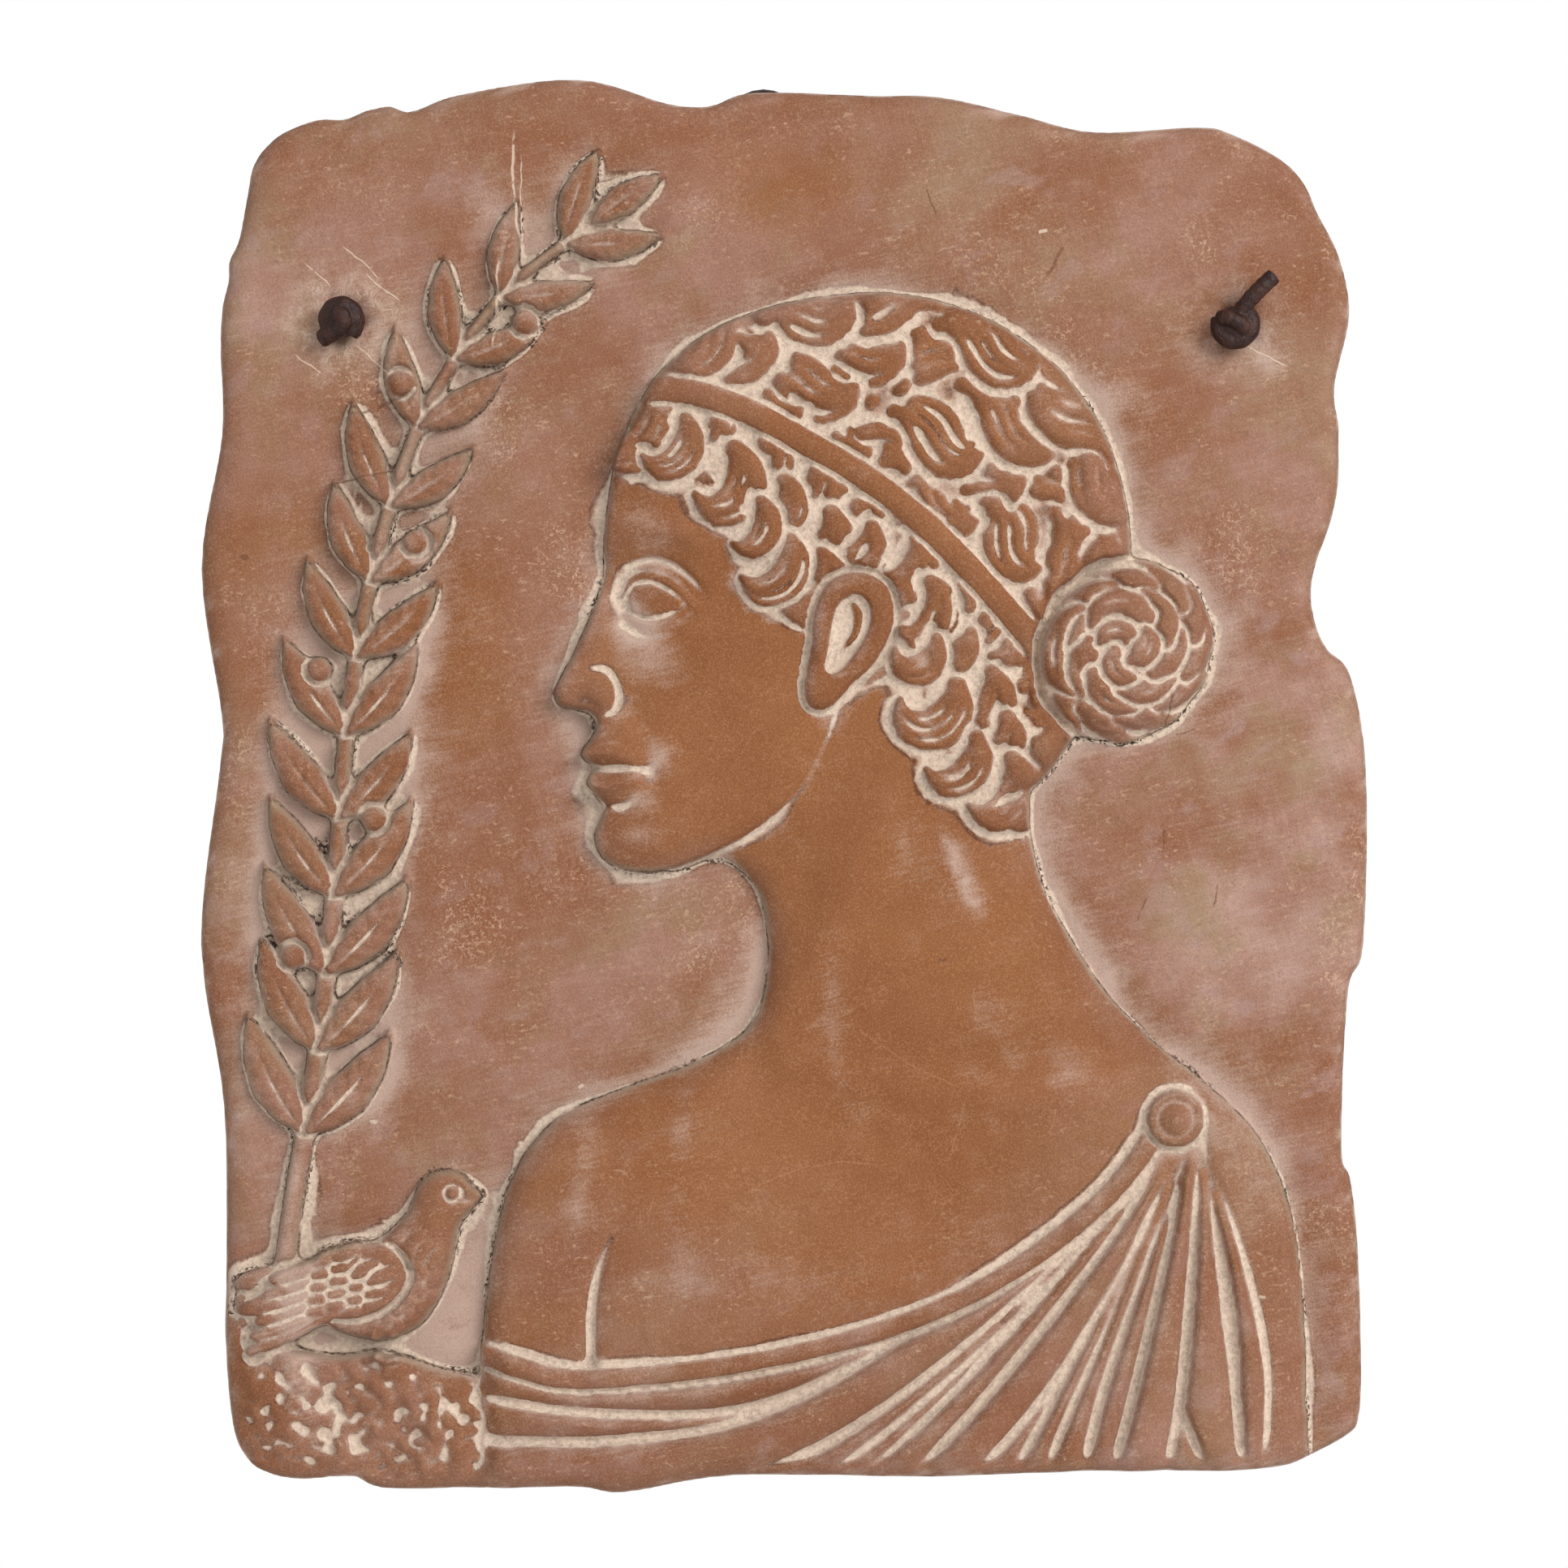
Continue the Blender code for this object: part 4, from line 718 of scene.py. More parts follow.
    def model_nose_and_mouth(self, face: Array) -> None:
        """Bridge, wing and nostril of the nose, the two lips and the chin.

        Args:
            face: Where the face is.
        """
        self.mound((-57, 44), (2.8, 9), 0.9, -0.42, face)
        self.mound((-59.3, 38.6), (3, 3), 1.1, 0, face)
        self.mound((-52.4, 37.6), (2.9, 3.3), 2.0, 0, face, 1.6)
        self.mound((-50, 22), (8, 7.5), 0.9, 0, face)
        for points, width, rise, taper in (
                ([(-54.4, 43.4), (-50.6, 42.6), (-48.4, 38.6), (-49, 34.6), (-51.6, 33)],
                 0.85, -1.25, (0.2, 0.9, 1, 1, 0.6)),
                ([(-57.6, 35.9), (-54.9, 36.1), (-53, 34.9)], 0.8, -1.2, (0.5, 1, 0.7)),
                ([(-46.2, 36), (-42.8, 30.5), (-41.2, 25)], 3.0, -0.7, (1, 0.8, 0.2)),
                ([(-56.2, 25), (-51.6, 25.4), (-47, 23.9), (-43.4, 22.2)], 1.7, 1.8,
                 (1, 1, 0.8, 0.1)),
                ([(-55.2, 18.7), (-51.2, 18.1), (-46.6, 19.5), (-43.6, 21.5)], 1.9, 2.1,
                 (1, 1, 0.8, 0.1)),
                ([(-54.8, 22.1), (-51, 21.7), (-47, 21.9), (-42.6, 21.5)], 0.8, -1.7,
                 (1, 1, 1, 0.6)),
                ([(-52.0, 14), (-48, 13.4), (-44.4, 15.2)], 1.5, -1.9, (1, 0.9, 0.2))):
            self.line(points, width, rise, face, taper)
        self.mound((-41.2, 21.2), (1.8, 2.2), -1.1, 0, face)
        self.mound((-47.2, 7), (5, 5), 1.2, 0, face)

    def model_ear(self) -> None:
        """Outer rim, inner fold, hollow, tragus and lobe."""
        clay = self.clay
        x, z = HEAD.on((-1.5, 49))
        ear = Figure(clay, Place(x, z, HEAD.scale, math.radians(-12)))
        depth = ear.shape(self.ear_rim, 10)
        within = depth > 0
        clay.cap(depth > -1.3, 5.6)
        clay.lay(within, 7.0 + 2.0 * roll(depth, 2.4))
        clay.height -= 2.6 * roll(ear.shape(self.ear_hollow, 6), 2.4)
        ear.line([(0.4, 9.4), (3.2, 6.5), (3.4, 2), (1.4, -2)], 1.1, 1.2, within, (0.4, 1, 1, 0.2))
        ear.mound((-3.0, -1.6), (1.9, 2.9), 1.0, 0, within, 1.4)
        ear.mound((-0.8, -11), (2.8, 3), 0.4, 0, within)


@dataclass
class Hair(Figure):
    """Strands combed back over the crown, a fillet, curls below it and a knot behind."""

    place: Place = HEAD
    crown: Points = (
        (-45.5, 97.5), (-39, 107.5), (-26, 117), (-8, 122.5), (12, 123.5), (30, 118.5), (45, 108.5),
        (55, 95), (60.5, 78), (61, 60), (57, 44), (50, 30), (42, 19), (34, 15))
    hairline: Points = (
        (-46.5, 95.5), (-40, 91.5), (-31, 86), (-23.5, 78.5), (-18.5, 70), (-14, 62), (-8, 59),
        (-2, 66), (6, 67.5), (12, 60), (14.5, 50), (16, 39), (19.5, 28), (27, 19), (37, 15))
    fillet: Points = (
        (-43, 103), (-32, 101.8), (-20, 97.5), (-8, 91), (4, 84), (15, 75.5), (25, 66), (34, 56),
        (42.5, 45.5), (50, 33))
    fillet_half: float = 3.0
    lock_rows: int = 4
    locks_along: int = 9
    lock_length: float = 25.0
    curl_pitch: float = 10.2
    knot_centre: tuple[float, float] = (60, 47)
    knot_radius: float = 19.0
    knot_oval: tuple[float, float] = (1.08, 0.92)
    knot_turn: float = math.radians(35)
    knot_rings: Points = ((0.80, 11, 4.6, 21), (0.46, 7, 4.2, 15), (0.14, 3, 3.4, 9))

    def model(self) -> None:
        """Model the scalp and then each kind of hair over it."""
        clay = self.clay
        crown = smooth(HEAD.on(self.crown), 6)
        fillet = smooth(HEAD.on(self.fillet), 8)
        hairline = smooth(HEAD.on(self.hairline[::-1]), 6)
        hair = clay.inside(closed_ring(crown, hairline))
        to_crown = clay.distance(crown, 70)
        scalp = 2.6 * roll(to_crown, 2.5) + 3.9 * roll(to_crown, 26)
        clay.lay(hair, scalp)
        self.comb_crown(scalp, clay.inside(closed_ring(crown, fillet[::-1])))
        self.curl_temples(scalp + 0.2)
        self.drop_slivers(scalp, hair)
        clay.height = np.where(hair, clay.blurred(clay.height, 0.4), clay.height)
        clay.strip(fillet, self.fillet_half, EVEN_TAPER, scalp + 0.6, band_section, 0.2, 1.1,
                   clay.raised.copy())
        self.coil_knot()

    def drop_slivers(self, scalp: Array, within: Array, size: float = 0.75) -> None:
        """Cut away what the locks have left of each other, where it is too thin to stand.

        Args:
            scalp: The level below the locks.
            within: Where the hair is.
            size: About half the least width that stands.
        """
        clay = self.clay
        standing = within & (clay.height > scalp + 0.5)
        core = clay.blurred(standing.astype(float), size) > 0.72
        kept = clay.blurred(core.astype(float), size) > 0.12
        clay.height = np.where(standing & ~kept, scalp, clay.height)

    def comb_crown(self, scalp: Array, within: Array) -> None:
        """Rows of long waved locks from the fillet to the crown, the front ones on top.

        Args:
            scalp: Level that they lie on.
            within: Where they may be.
        """
        rng = np.random.default_rng(11)
        crown, fillet = (spaced(smooth(HEAD.on(line[1:])), 240)
                         for line in (self.crown, self.fillet))
        half = 0.5 * np.hypot(*(crown[120] - fillet[120])) / self.lock_rows
        for k in range(self.locks_along, -1, -1):
            for row in range(self.lock_rows - 1, -1, -1):
                low = (row + 0.5 + 0.10 * rng.standard_normal()) / self.lock_rows
                place = k - 0.5 * (row % 2) + 0.10 * rng.standard_normal()
                at = int(np.clip(238 * place / self.locks_along, 1, 236))
                root, ahead = (crown[n] * (1 - low) + fillet[n] * low for n in (at, at + 2))
                bend = (1.0 + 0.35 * rng.random()) * (-1) ** (row + k)
                length = self.lock_length * (0.9 + 0.25 * rng.random())
                first = curl(
                    root, bearing(ahead - root) - 0.5 * bend, 0.5 * length, 1.15 * bend, 8, 1.0)
                last = curl(
                    first[-1], bearing(first[-1] - first[-2]), 0.5 * length, -1.5 * bend, 8, 1.2)
                self.clay.strip(np.vstack([first, last[1:]]), 1.08 * half, WAVE_TAPER, scalp,
                                Lock.combed(rng, 2.5, 3, 2.3, 0.14), 0, 1.6, within, 0.35)

    def curl_temples(self, scalp: Array) -> None:
        """Rows of commas between the fillet and the hairline, the lowest on top.

        Args:
            scalp: Level that they lie on.
        """
        rng = np.random.default_rng(5)
        within = self.clay.raised.copy()
        low, high = (spaced(smooth(HEAD.on(line)), 200) for line in (self.hairline, self.fillet))
        columns = int(walked(0.55 * low + 0.45 * high)[-1] / self.curl_pitch)
        curls = []
        for k in range(columns + 1):
            place = (k + 0.4) / columns
            at = int(199 * min(place, 1))
            gap = np.hypot(*(low[at] - high[at]))
            rows = max(1, round(gap / (0.9 * self.curl_pitch)))
            for j in range(rows):
                along = place + (0.5 * (j % 2) + 0.12 * rng.standard_normal()) / columns
                curls.append(((j + 0.22) / rows, float(np.clip(along, 0.03, 0.985)), gap / rows))
        for up, along, room in sorted(curls, reverse=True):
            at = int(199 * along)
            middle = low[at] * (1 - up) + high[at] * up
            fall = (low[at] - high[at]) / np.hypot(*(low[at] - high[at]))
            size = float(np.clip(1.15 * room, 9.0, 12.0)) * (0.92 + 0.24 * rng.random())
            heading = bearing(fall) + 0.85 + 0.25 * rng.standard_normal()
            spine = curl(middle - 0.62 * size * fall, heading, 1.95 * size,
                         -2.7 - 0.8 * rng.random(), 16, 1.3)
            self.clay.strip(spine, 0.42 * size, LOCK_TAPER, scalp,
                            Lock.combed(rng, 2.7, 3, 2.3), 0, 1.7, within, 0.4)

    def coil_knot(self) -> None:
        """The knot of hair behind: three rings of locks wound round a mound."""
        clay, radius = self.clay, self.knot_radius
        rng = np.random.default_rng(7)
        x, z = HEAD.on(self.knot_centre)
        knot = Place(x, z, 1.0, self.knot_turn)
        out = clay.oval((x, z), self.knot_oval, self.knot_turn)
        clay.cap(out < radius + 1.8, 2.4)
        level = 6.4 * np.sqrt(np.clip(1 - (out / (radius * 1.04)) ** 2.4, 0, 1))
        clay.lay(out < radius, level)
        for ring, count, half, length in self.knot_rings:
            for k in range(count):
                angle = TAU * k / count + 3 * ring
                root = knot.on(towards(angle) * self.knot_oval * radius * ring)
                spine = curl(root, angle + self.knot_turn + math.pi / 2 - 0.15, length, 1.75)
                clay.strip(spine, half, LOCK_TAPER, level, Lock.combed(rng, 1.9, 2, 1.5))


@dataclass
class Dress(Figure):
    """Cloth pinned on the far shoulder, falling across the breast in folds."""

    brooch: tuple[float, float] = (90.0, -77.0)
    brooch_radius: float = 6.6
    neckline: Points = (
        (90, -74), (72, -97), (40, -119), (-2, -132), (-44, -137), (-62, -134), (-80, -128))
    hem_half: float = 2.5
    folds: int = 10

    def model(self, body_depth: Array) -> None:
        """Lay the cloth on the body, then its folds, its hem and the brooch.

        Args:
            body_depth: Depth inside the body's outline.
        """
        clay = self.clay
        neckline = smooth(self.neckline)
        pin = (self.brooch[0], self.brooch[1] + 3)
        shoulder = smooth([(118, -86), (108, -73), (98, -68.5), pin], 4)
        ring = closed_ring(neckline, [(-80, -190), (130, -190), (130, -90)], shoulder)
        depth = clay.depth(ring, 20)
        cloth = (depth > 0) & (body_depth > 0)
        clay.height += np.where(cloth, 1.3 * roll(depth, 2), 0)
        level = clay.blurred(clay.height, 2.0)
        self.lay_folds(level, cloth)
        softened = clay.blurred(clay.height, 0.6)
        faded = level + (softened - level) * ease(body_depth / 5)
        clay.height = np.where(cloth, faded, clay.height)
        body = clay.raised.copy()
        clay.score(neckline, 4.4, -1.3, body)
        clay.strip(neckline, self.hem_half, EVEN_TAPER, 2 + 4.4 * ease(body_depth / 8),
                   hem_section, -0.4, 0.8, body)
        self.pin_brooch()

    def lay_folds(self, level: Array, within: Array) -> None:
        """Folds that fan from the brooch to the edge of the slab.

        Args:
            level: Level of the cloth.
            within: Where the cloth is.
        """
        rng = np.random.default_rng(3)
        border = spaced([(-80, -132), (-80, -188), (126, -188)], 200)
        for k in range(2 * self.folds - 1, -1, -1):
            share = (k + 0.35 * rng.random()) / (2 * self.folds)
            end = border[int(199 * share)]
            start = np.array(self.brooch) + [-6 + 11 * share, -4]
            sag = 29 * (1 - share) ** 1.25
            sway = 1.6 * rng.standard_normal()
            middle = 0.5 * (start + end) - [0.1 * sag + sway, sag]
            line = smooth([start, 0.5 * (start + middle) - [0.5 * sway, 0.2 * sag], middle,
                           0.5 * (middle + end) - [-sway, 0.14 * sag], end])
            spread = 13.5 * (0.85 + 0.3 * rng.random())
            if k % 2:
                self.clay.strip(line[3:], 0.40 * spread, ([0, 0.5, 1], [0.08, 0.5, 1]), level,
                                Fold(2.5 + rng.random()), -0.9, 1.7, within)
            else:
                self.clay.strip(line, 0.58 * spread, ([0, 0.25, 0.6, 1], [0.2, 0.42, 0.8, 1]),
                                level, Fold(3.2 + 1.3 * rng.random()), -1.0, 2.0, within)

    def pin_brooch(self) -> None:
        """A round brooch with a raised rim and a boss."""
        out = np.hypot(*self.clay.offsets(self.brooch))
        disc = 7.0 + 1.9 * np.sqrt(np.clip(1 - (out / self.brooch_radius) ** 4, 0, 1))
        disc += 0.9 * bell(out, 1.8) - 0.9 * bell(out - 4.2, 0.7)
        self.clay.cap(out < self.brooch_radius + 1.2, 5.2)
        self.clay.lay(out < self.brooch_radius, disc)


@dataclass
class Laurel(Figure):
    """A branch with pairs of leaves, a leaf at the tip and berries."""

    stem: Points = (
        (-117, -126), (-114, -100), (-108, -62), (-104, -24), (-101, 14), (-95, 50), (-84, 84),
        (-66, 112), (-44, 130))
    ground: float = 0.3
    pairs: int = 13
    leaf_length: float = 29.0
    leaf_half: float = 5.2
    berries: Points = ((0.31, 1), (0.43, -1), (0.55, 1), (0.67, -1), (0.79, 1), (0.89, -1))
    berry_radius: float = 3.1
    berry_reach: float = 8.2

    def model(self) -> None:
        """Model the stem, the leaves from the lowest up, and the berries."""
        stem = spaced(smooth(self.stem, 10), 200)
        self.clay.strip(stem, 2.5, ([0, 1], [1, 0.5]), self.ground, stem_section)
        angles = np.unwrap([bearing(step) for step in np.gradient(stem, axis=0)])
        rng = np.random.default_rng(4)
        for k in range(self.pairs):
            share = 0.17 + 0.80 * k / (self.pairs - 1)
            at = int(199 * share)
            for side in (1, -1):
                length = self.leaf_length - 9 * share + 2.5 * rng.random()
                heading = angles[at] + side * (0.74 + 0.16 * rng.random())
                spine = curl(
                    stem[at] + 1.2 * towards(heading), heading, length, -0.45 * side, 12, 1.0)
                self.lay_leaf(spine, self.leaf_half * length / self.leaf_length)
        self.lay_leaf(curl(stem[-1], angles[-1], 20, -0.15, 12, 1.0), 3.8)
        for share, side in self.berries:
            at = int(199 * share)
            self.hang_berry(stem[at], angles[at] + side * 1.35)

    def lay_leaf(self, spine: Array, half: float) -> None:
        """Lay one leaf along its spine."""
        self.clay.strip(spine, half, LEAF_TAPER, self.ground, Leaf(), 0.2)

    def hang_berry(self, root: Array, heading: float) -> None:
        """Model one berry and its stalk.

        Args:
            root: Where the stalk leaves the stem.
            heading: The stalk's direction.
        """
        place = root + self.berry_reach * towards(heading)
        self.clay.score([root, place], 0.8, 1.3)
        out = np.hypot(*self.clay.offsets(place))
        berry = 1.0 + 3.0 * dome(out / self.berry_radius) - 0.5 * bell(out, 0.5)
        self.clay.cap(out < self.berry_radius + 1, 0.6)
        self.clay.lay(out < self.berry_radius, berry)


@dataclass
class Rock(Figure):
    """A ledge of rough, pitted rock in the lower corner."""

    outline: Points = (
        (-140, -118), (-128, -123), (-117, -129), (-104, -132), (-92, -131), (-80, -135),
        (-68, -138), (-58, -146), (-56, -182), (-150, -182), (-150, -122))
    lumps: Points = ((2.6, 0.40, 21), (1.4, 0.45, 22), (9, 1.0, 23))

    def model(self, bust: Array) -> None:
        """Model the rock beside the bust.

        Args:
            bust: Where the bust is.
        """
        clay = self.clay
        depth = clay.depth(smooth(self.outline, 6, True), 10)
        rough = sum(height * clay.noise(size, seed) for size, height, seed in self.lumps)
        clay.lay((depth > 0) & ~bust, 3.6 * roll(depth, 3) + rough * ease(depth / 2))


@dataclass
class Dove(Figure):
    """A dove at rest on the rock, looking up at the bust."""

    place: Place = Place(-96.5, -112, 0.90)
    body: Points = (
        (-17, -9), (-8, -16), (4, -18.5), (14, -14.5), (20, -5), (22.5, 4), (24, 11), (27.5, 15.5),
        (30.5, 19.2), (27.8, 20.6), (24.6, 24.4), (18.8, 25.4), (13.5, 22), (10, 14), (3, 7.5),
        (-8, 3), (-18, -2))
    wing: Points = (
        (11, -2), (7, 5.5), (-2, 6.5), (-14, 2), (-27, -6), (-34, -11), (-26, -12.5), (-14, -12.5),
        (-3, -13), (6, -9.5))
    eye: tuple[float, float] = (22.2, 19.6)
    low: float = 1.2
    wing_level: float = 5.4

    def feather(self, root: Point, heading: float, length: float, turn: float, half: float,
                rise: float, level: Array | float, within: Array | None = None) -> None:
        """Lay one feather.

        Args:
            root: Its root, in the dove's own frame.
            heading: Its direction there.
            length: Its length.
            turn: How far it turns.
            half: Its half-width.
            rise: Its height.
            level: Level that it lies on.
            within: Where it may be.
        """
        spine = curl(self.place.on(root), math.pi + heading, length, turn, 14 if length > 9 else 6)
        self.clay.strip(spine, half, FEATHER_TAPER, level, Lock(rise), 0.25, 0.35 * half, within)

    def model(self) -> None:
        """Model the tail, the body, its plumage, the wing, the head and the feet."""
        clay = self.clay
        for k in range(4):
            self.feather((-10, -6 + 1.6 * k), 0.50 - 0.14 * k, 21, 0.08, 2.9, 1.5, self.low)
        depth = self.shape(self.body, 14)
        bird = depth > 0
        clay.lay(bird, 1.6 * roll(depth, 1.6) + 4.4 * roll(depth, 12))
        plumage = np.maximum(clay.height - 0.6, 0)
        for row in range(6):
            for k in range(5):
                root = np.array([6 + 2.9 * row, -12 + 4.6 * k + 2.3 * (row % 2)])
                if np.hypot(*(root - (19, 16))) > 7.8:
                    self.feather(root, 0.6, 4.4, 0.3, 2.0, 0.8, plumage, bird)
        self.model_wing()
        self.mound(self.eye, (2.3, 2.3), -2.4, 0, bird, 2)
        self.mound(self.eye, (1.3, 1.3), 3.2, 0, bird, 2)
        self.line([(25, 17.2), (30.2, 19.4)], 0.6, -1.3, bird)
        self.line([(25.6, 22.6), (24.9, 19.6), (25.2, 16.6)], 0.7, -0.9, bird, (0.3, 1, 0.3))
        for x in (2, 7):
            self.line([(x, -17), (x + 1, -22)], 0.9, 2.0)
            for spread in (-3, 1, 5):
                self.line([(x + 1, -22), (x + 1 + spread, -23.5)], 0.7, 1.6)

    def model_wing(self) -> None:
        """The folded wing: a shield of short feathers over long ones."""
        depth = self.shape(self.wing, 8)
        self.clay.cap(depth > -1.2, 3.2)
        self.clay.lay(depth > 0, 5.2 * roll(depth, 1) + 0.9 * roll(depth, 7))
        for k in range(6):
            self.feather((-7.5 - 0.6 * k, -10.4 + 2.5 * k), 0.50 - 0.02 * k, 22 - 1.9 * k,
                         -0.12, 1.8, 1.1, self.wing_level)
        for row, (x, count) in enumerate(((-9, 5), (-4, 5), (1, 4), (5.5, 3))):
            for k in range(count):
                root = (x + 0.4 * k, -8.6 + 3.2 * k + 1.5 * (row % 2))
                self.feather(root, 0.35, 4.9, 0.2, 1.9, 0.95, self.wing_level)


# ---- slab ----
# In millimetres from the slab's middle: the nail and the two holes. Then the slab's
# thickness, the gap behind it, and the level of the flat pads round the holes.
NAIL = (-5.0, 160.5)
THICKNESS = 16.0
BACK_GAP = 5.0
HOLES = ((-102.0, 107.0), (104.0, 106.0))
PAD_LEVEL = -0.3
# Added to the slip's weight, so that dry places stay above 0.
DRY = 2.0


def to_world(x: Array, height: Array, z: Array) -> Array:
    """Take the slab's plane, and heights over its ground, to metres from the nail."""
    return np.stack([x - NAIL[0], -(BACK_GAP + THICKNESS) - height, z - NAIL[1]], -1) * MM


@dataclass
class Outline:
    """The slab's worn, wavy outline, clockwise from the top left corner."""

    top: Points = (
        (-120.4, 148), (-116, 151.5), (-108.5, 154.3), (-102, 154.5), (-97, 156.5), (-92, 157.5),
        (-86.5, 156.3), (-75, 160.2), (-48, 163.6), (-27, 158), (-17, 157.6), (-7, 160.6),
        (20, 159.9), (36, 159.6), (54, 155.6), (72, 151.4), (96, 152.6), (104, 151), (115, 145.4))
    right: Points = (
        (120.6, 139.8), (124, 132.5), (129, 122.2), (131.3, 109), (127.8, 92), (129, 81), (128, 65),
        (122.8, 48.5), (123, 39), (126, 31.5), (131.6, 25), (135.2, 3), (134.6, -37), (131, -48.5),
        (129.5, -84), (131.6, -92), (133.2, -107), (134, -134), (133.5, -146.5))
    bottom: Points = (
        (131, -151), (121, -156), (108, -158), (76, -158), (34, -159.4), (-12, -159.2), (-37, -163),
        (-50, -161.5), (-90, -163.2), (-100, -160.3), (-112, -161.2))
    left: Points = (
        (-119, -160), (-124.6, -156), (-128, -146), (-129.6, -122), (-130, -76), (-135.4, -37),
        (-131, 4), (-130.6, 16), (-135.3, 50), (-130.6, 81), (-130.9, 100), (-130.6, 110),
        (-129.1, 117), (-128.9, 121.5), (-126.7, 126.5), (-124.8, 136.5), (-123.4, 143.5))
    per_span: int = 6
    side_points: int = 400

    def ring(self) -> Array:
        """The whole outline."""
        return smooth((*self.top, *self.right, *self.bottom, *self.left), self.per_span, True)

    def patch(self, across: Array, up: Array) -> Array:
        """Find places inside the outline.

        Args:
            across: Shares from the left side to the right one.
            up: Shares from the bottom to the top.

        Returns:
            Points of the slab's plane.
        """
        line = self.ring()
        lengths = [0, len(self.top), len(self.right), len(self.bottom), len(self.left)]
        ends = np.cumsum(lengths) * self.per_span
        top, right, bottom, left = (
            spaced(line[a:b + 1], self.side_points) for a, b in zip(ends, ends[1:]))
        right, bottom = right[::-1], bottom[::-1]
        even = np.linspace(0, 1, self.side_points)
        u, v = across[:, None], up[:, None]
        sides = (1 - v) * at_shares(bottom, even, across) + v * at_shares(top, even, across)
        sides += (1 - u) * at_shares(left, even, up) + u * at_shares(right, even, up)
        corners = (1 - v) * ((1 - u) * bottom[0] + u * bottom[-1])
        corners += v * ((1 - u) * top[0] + u * top[-1])
        return sides - corners


@dataclass
class Ground:
    """The plain ground and the worn rim of the slab."""

    clay: Clay
    outline: Outline
    rim_drop: float = 3.6
    rim_run: float = 6.0
    rim_calm: float = 3.0
    pad_radius: float = 9.0
    chips: int = 22
    scratch_half: float = 0.42
    scratch_depth: float = 0.3
    scratches: Sequence[Points] = (
        ((-63.0, 152.0), (-61.8, 143.0), (-62.6, 133.0), (-64.5, 126.5)),
        ((-66.5, 120.5), (-63.5, 121.5), (-64.2, 112.0), (-65.6, 100.0)),
        ((70.0, 60.0), (76.0, 48.0)))
    inwards: Array = field(init=False)

    def finish(self) -> None:
        """Make the ground uneven and sunk beside the figures, and wear the rim."""
        clay = self.clay
        uneven = 0.30 * clay.noise(34, 1) + 0.13 * clay.noise(13, 2)
        beside = np.clip(1.6 * clay.blurred(clay.raised.astype(float), 6), 0, 1)
        clay.height = np.where(clay.raised, clay.height + 0.25 * uneven, uneven - 1.5 * beside)
        clay.height = clay.blurred(clay.height, 0.3)
        self.inwards = np.clip(clay.depth(self.outline.ring(), 16), 0, None)
        calm = clay.blurred(clay.height, self.rim_calm)
        clay.height = calm + (clay.height - calm) * ease((self.inwards - 0.8) / self.rim_run)
        clay.height -= self.rim_drop * (1 - roll(self.inwards, self.rim_run))
        self.chip_rim()
        for line in self.scratches:
            clay.score(smooth(line), self.scratch_half, -self.scratch_depth,
                       taper=(0.3, 1, 1, 0.4))
        clay.height += 0.035 * clay.noise(2.2, 31) + 0.05 * clay.noise(5.5, 32)
        for hole in HOLES:
            out = np.hypot(*clay.offsets(hole))
            bearing_share = ease((1.5 * self.pad_radius - out) / (0.5 * self.pad_radius))
            clay.height += (PAD_LEVEL - clay.height) * bearing_share

    def chip_rim(self) -> None:
        """Small chips broken from the front edge."""
        rng = np.random.default_rng(8)
        ring = self.outline.ring()
        for _ in range(self.chips):
            at = ring[rng.integers(len(ring))] * (1 - 0.006 * rng.random())
            size = 0.7 + 1.3 * rng.random() ** 2
            self.clay.swell(at, (1.4 * size, size), -0.6 * size, TAU * rng.random(), power=1.3)


@dataclass(frozen=True)
class Smudge:
    """A soft patch: its middle, its half-length and half-width, its angle and its weight."""

    x: float
    z: float
    length: float
    width: float
    angle: float = 0.0
    weight: float = 1.0


WIPED = listed(Smudge,
    (-33, 53, 8, 3, -10, 0.25), (-16, 20, 14, 20, 0, 0.5), (-38, 10.5, 3, 2.5, 0, 0.3))
FILLED = listed(Smudge,
    (-33, 41, 7.5, 6, 0, 1.0), (-40, 3.5, 8, 6, 0, 0.75), (-41, 20, 4.5, 5, 0, 0.6),
    (22, 52, 48, 34, -30, 0.5), (-106, 10, 16, 90, 0, 0.7), (-66, 116, 34, 22, 35, 0.7),
    (-98, -112, 26, 16, 0, 0.5))
POOLED = listed(Smudge,
    (-48.5, -4, 4.0, 7, 0, 0.7), (-44.5, 64, 2.2, 22, -1, 0.7), (-54, 17, 2.5, 4, 0, 0.7),
    (-36, -23, 9, 2.2, 8, 0.6))
HANDLED = listed(Smudge,
    (-14, 14, 26, 34, 0, 1.0), (26, -30, 24, 34, 0, 0.84), (14, -74, 56, 30, -8, 0.85),
    (24, 60, 44, 40, -30, 0.75), (78, 32, 22, 22, 0, 0.8))
CLOUDED = listed(Smudge,
    (92, 30, 34, 46, 0, 0.4), (112, -40, 16, 50, 0, 0.4), (-98, 118, 24, 20, 0, -0.05),
    (-62, 128, 20, 8, -35, 0.22), (34, 134, 16, 8, 0, 0.22), (-50, -40, 22, 24, 0, 0.3),
    (-118, -50, 8, 60, 0, 0.12), (-36, -112, 22, 10, 0, 0.3), (20, -150, 90, 12, 0, 0.3),
    (-110, 90, 14, 10, 0, -0.2), (4, 140, 18, 8, 0, -0.25), (76, 84, 12, 20, 60, -0.25),
    (84, -4, 10, 8, 0, -0.2), (-40, 108, 12, 14, 0, -0.1))
